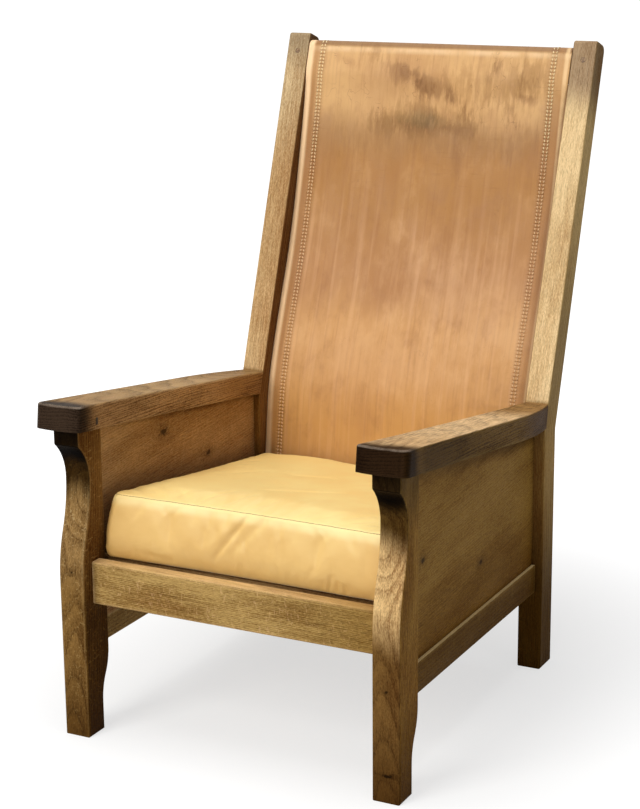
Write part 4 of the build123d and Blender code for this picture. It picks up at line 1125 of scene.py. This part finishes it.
def cord_along(name, line, radius, material, sides=6):
    """A thin closed cord, bedded in the cover along a loop of points."""
    bedded = [wall.find_nearest(Vector(point)) for point in line]
    line = np.array([tuple(spot + 0.3 * radius * facing) for spot, facing, _, _ in bedded])
    count = len(line)
    points, faces = [], []
    for i, point in enumerate(line):
        ahead = line[(i + 1) % count] - line[i - 1]
        ahead = ahead / np.linalg.norm(ahead)
        side = np.cross(ahead, UP)
        side /= np.linalg.norm(side)
        up = np.cross(side, ahead)
        for k in range(sides):
            a = 2 * pi * k / sides
            points.append(tuple(point + radius * (cos(a) * side + sin(a) * up)))
    for i in range(count):
        here, ahead = i * sides, (i + 1) % count * sides
        for k in range(sides):
            n = (k + 1) % sides
            faces.append((here + k, here + n, ahead + n, ahead + k))
    piece = new_piece(name, points, faces, material)
    outward(piece)
    piece.data.transform(CUSHION_PLACE)
    return piece


seam_thread = thread_material("brown seam thread", (170, 134, 74))
cushion_seams = [cord_along(name, line, 0.0006, seam_thread) for name, line in
                 zip(("cushion_top_seam", "cushion_bottom_seam"), seams)]
for piece in [cushion] + cushion_seams:
    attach(piece, "cushion")
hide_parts("cushion_cover", "cushion_filling")


# Zip along the cushion's back wall: its middle's height and its half length, its teeth and its stitches
ZIP_HEIGHT, ZIP_HALF = 0.054, 0.19
TOOTH_PITCH, TOOTH_LENGTH, TOOTH_THICKNESS, TOOTH_STAGGER = 0.0022, 0.0034, 0.0014, 0.0006
FINE_PITCH, FINE_LENGTH, FINE_THREAD, FINE_ROW = 0.0042, 0.0031, 0.0009, 0.0078
SLIDER_AT = -ZIP_HALF + 0.012


def on_wall(x, z, out):
    """A place on the stuffed cushion's back wall, a little way out from it, in the cushion's own frame."""
    hit = wall.ray_cast(Vector((x, 0.4, z)), Vector((0, -1, 0)))[0]
    return Vector((x, hit.y + out, z))


def wall_strip(points, faces, low, high, far, crown, across=4, along=110):
    """Adds a flat strip that follows the wall between two heights, closed all round."""
    first = len(points)
    for layer, out in enumerate((-0.0004, far)):
        for i in range(along + 1):
            for j in range(across + 1):
                share = j / across
                rise = out + (crown * 4 * share * (1 - share) if layer else 0.0)
                points.append(on_wall(-ZIP_HALF + 2 * ZIP_HALF * i / along, low + (high - low) * share, rise))
    wide, size = across + 1, (along + 1) * (across + 1)
    for i in range(along):
        for j in range(across):
            k = first + i * wide + j
            faces.append((k, k + 1, k + wide + 1, k + wide))
            faces.append((k + size, k + size + wide, k + size + wide + 1, k + size + 1))
    rim = ([i * wide for i in range(along)] + [along * wide + j for j in range(across)]
           + [i * wide + across for i in range(along, 0, -1)] + [j for j in range(across, 0, -1)])
    for i, k in enumerate(rim):
        n = rim[(i + 1) % len(rim)]
        faces.append((first + k, first + n, first + n + size, first + k + size))


def zip_strips(name, near, far, thick, crown, material):
    """Two like strips, above and below the zip's middle, from one distance from it to another."""
    points, faces = [], []
    for sign in (1, -1):
        low, high = sorted((ZIP_HEIGHT + sign * near, ZIP_HEIGHT + sign * far))
        wall_strip(points, faces, low, high, thick, crown)
    piece = new_piece(name, points, faces, material)
    outward(piece)
    return piece


def plate(points, faces, outline, near, far, chamfer):
    """Adds a flat plate with chamfered edges from an outline of places across and up."""
    first, count = len(points), len(outline)
    middle = sum((Vector(p) for p in outline), Vector((0, 0))) / count
    for y, drawn_in in ((near, chamfer), (near + chamfer, 0), (far - chamfer, 0), (far, chamfer)):
        for p in outline:
            gone = Vector(p) - middle
            x, z = middle + gone * (1 - drawn_in / gone.length)
            points.append((x, y, z))
    for layer in range(3):
        for i in range(count):
            k, n = first + layer * count + i, first + layer * count + (i + 1) % count
            faces.append((k, n, n + count, k + count))
    faces.append([first + i for i in range(count)][::-1])
    faces.append([first + 3 * count + i for i in range(count)])


def zip_slider_shape():
    """The points and faces of the slider: its rounded body, the bridge on it and the pull that hangs down."""
    points, faces = [], []
    back = on_wall(SLIDER_AT, ZIP_HEIGHT, 0.0).y
    body = []
    for a in (k * pi / 10 for k in range(20)):
        body.append((0.0055 * cos(a) * (1.15 if cos(a) < 0 else 0.9), 0.0042 * sin(a)))
    bridge = ((-0.004, -0.0009), (0.004, -0.0009), (0.004, 0.0009), (-0.004, 0.0009))
    pull = []
    for side, drop in ((1, 0), (-1, 0), (-1, 0.3), (-1, 0.9), (-0.6, 1), (0.6, 1), (1, 0.9), (1, 0.3)):
        pull.append(((0.0021 + 0.0012 * drop) * side, 0.001 - 0.026 * drop))
    for outline, near, far, chamfer in ((body, 0.0004, 0.0036, 0.0006), (bridge, 0.0034, 0.0052, 0.0004),
                                        (pull, 0.0052, 0.0064, 0.0004)):
        placed = [(SLIDER_AT + x, ZIP_HEIGHT + z) for x, z in outline]
        plate(points, faces, placed, back + near, back + far, chamfer)
    return points, faces


def tape_cotton(name):
    """Woven cotton zip tape in a herringbone."""
    made, shader, place = new_material(name)
    x, _, z = split(place)
    slant = times(calc("ABSOLUTE", minus(calc("FRACT", times(z, 330.0)), 0.5)), 0.003)
    weave = fade(calc("SINE", times(plus(x, slant), 2 * pi / 0.0009)), -0.6, 0.6)
    dusty = fade(noise(place, 60.0, 3.0), 0.5, 0.75, 0.0, 0.4)
    colour = coat(srgb(134, 98, 58), (weave, (98, 68, 38)), (dusty, (170, 140, 100)))
    fill(shader, {"Base Color": colour, "Roughness": 0.85, "Normal": bump(weave, 0.0003, 0.5),
                  "Sheen Weight": 0.2})
    return made


zip_cloth = zip_strips("zip_tape", 0.0007, 0.0068, 0.0007, 0.0, tape_cotton("cotton zip tape"))
zip_edges = zip_strips("zip_hide_edges", 0.0058, 0.0098, 0.0008, 0.0009, pale_hide)
zip_metal = metal("aged zip brass", (0.5, 0.36, 0.15), 0.28, (0.2, 0.13, 0.05))
places = []
for k in range(int((2 * ZIP_HALF - 0.004) / TOOTH_PITCH)):
    height = ZIP_HEIGHT + (TOOTH_STAGGER if k % 2 else -TOOTH_STAGGER)
    places.append(on_wall(-ZIP_HALF + 0.002 + TOOTH_PITCH * k, height, 0.001))
zip_teeth = beads("zip_teeth", places, [(0, 0, 1)] * len(places), zip_metal, TOOTH_LENGTH, TOOTH_THICKNESS,
                  segments=6, rings=4)
places = [on_wall(-ZIP_HALF + FINE_PITCH * k, ZIP_HEIGHT + side * FINE_ROW, 0.0018) for side in (-1, 1)
          for k in range(int(2 * ZIP_HALF / FINE_PITCH) + 1)]
zip_stitches = beads("zip_stitches", places, [(1, 0, 0)] * len(places), seam_thread, FINE_LENGTH, FINE_THREAD)
zip_slider = new_piece("zip_slider", *zip_slider_shape(), zip_metal, smooth=False)
outward(zip_slider)
for piece in (zip_cloth, zip_edges, zip_teeth, zip_stitches, zip_slider):
    piece.data.transform(CUSHION_PLACE)
    piece.data.update()
    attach(piece, "cushion")
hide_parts("cushion_zip")


# Floor, lamps and surroundings
def seen_directly(tree):
    """1 for a ray from the camera, or one that a gloss or glass sends on, and 0 for other light."""
    rays = put(tree, "LightPath").outputs
    seen = calc("MAXIMUM", rays["Is Camera Ray"], rays["Is Glossy Ray"])
    return calc("MAXIMUM", seen, rays["Is Transmission Ray"])


def floor_material():
    """A white studio floor that keeps the chair's shadow and runs out to plain white."""
    made = bpy.data.materials.new("studio floor")
    tree = blank_tree(made)
    away = vec("LENGTH", vec("MULTIPLY", put(tree, "TexCoord").outputs["Object"], (1, 1, 0)))
    lit = put(tree, "BsdfDiffuse", {"Color": (0.8, 0.8, 0.8, 1)})
    shadow = put(tree, "BsdfDiffuse", {"Color": (0.36, 0.36, 0.36, 1)})
    glow = put(tree, "Emission", {"Color": (1, 1, 1, 1), "Strength": fade(away, 0.35, 1.35, 0.64, 1.0)})
    shown = put(tree, "AddShader", {0: shadow.outputs[0], 1: glow.outputs[0]})
    both = put(tree, "MixShader", {0: seen_directly(tree), 1: lit.outputs[0], 2: shown.outputs[0]})
    put(tree, "OutputMaterial", {"Surface": both.outputs[0]})
    return made


FLOOR_HALF = 40
floor_corners = [(x * FLOOR_HALF, y * FLOOR_HALF, 0) for x, y in ((-1, -1), (1, -1), (1, 1), (-1, 1))]
floor = new_piece("studio_floor", floor_corners, [(0, 1, 2, 3)], floor_material())


def lamp(name, place, target, size, power, colour=(1, 1, 1)):
    """A square soft lamp aimed at a point."""
    data = bpy.data.lights.new(name, "AREA")
    data.shape, data.size, data.energy, data.color = "SQUARE", size, power, colour
    made = bpy.data.objects.new(name, data)
    made.location = place
    made.rotation_euler = (Vector(target) - Vector(place)).to_track_quat("-Z", "Y").to_euler()
    bpy.context.scene.collection.objects.link(made)


lamp("front lamp", (-1.0, -3.3, 2.6), (0, 0, 0.6), 1.8, 92, (1.0, 0.99, 0.96))
lamp("top lamp", (-0.1, -0.4, 3.6), (0, -0.1, 0.4), 2.4, 74)
world = bpy.data.worlds.new("studio")
bpy.context.scene.world = world
sky = blank_tree(world)
ambient = put(sky, "Background", {"Color": (1, 1, 1, 1), "Strength": 0.24})
white = put(sky, "Background", {"Color": (1, 1, 1, 1), "Strength": 1.0})
both = put(sky, "MixShader", {0: seen_directly(sky), 1: ambient.outputs[0], 2: white.outputs[0]})
put(sky, "OutputWorld", {"Surface": both.outputs[0]})
bpy.context.scene.view_settings.view_transform = "Standard"
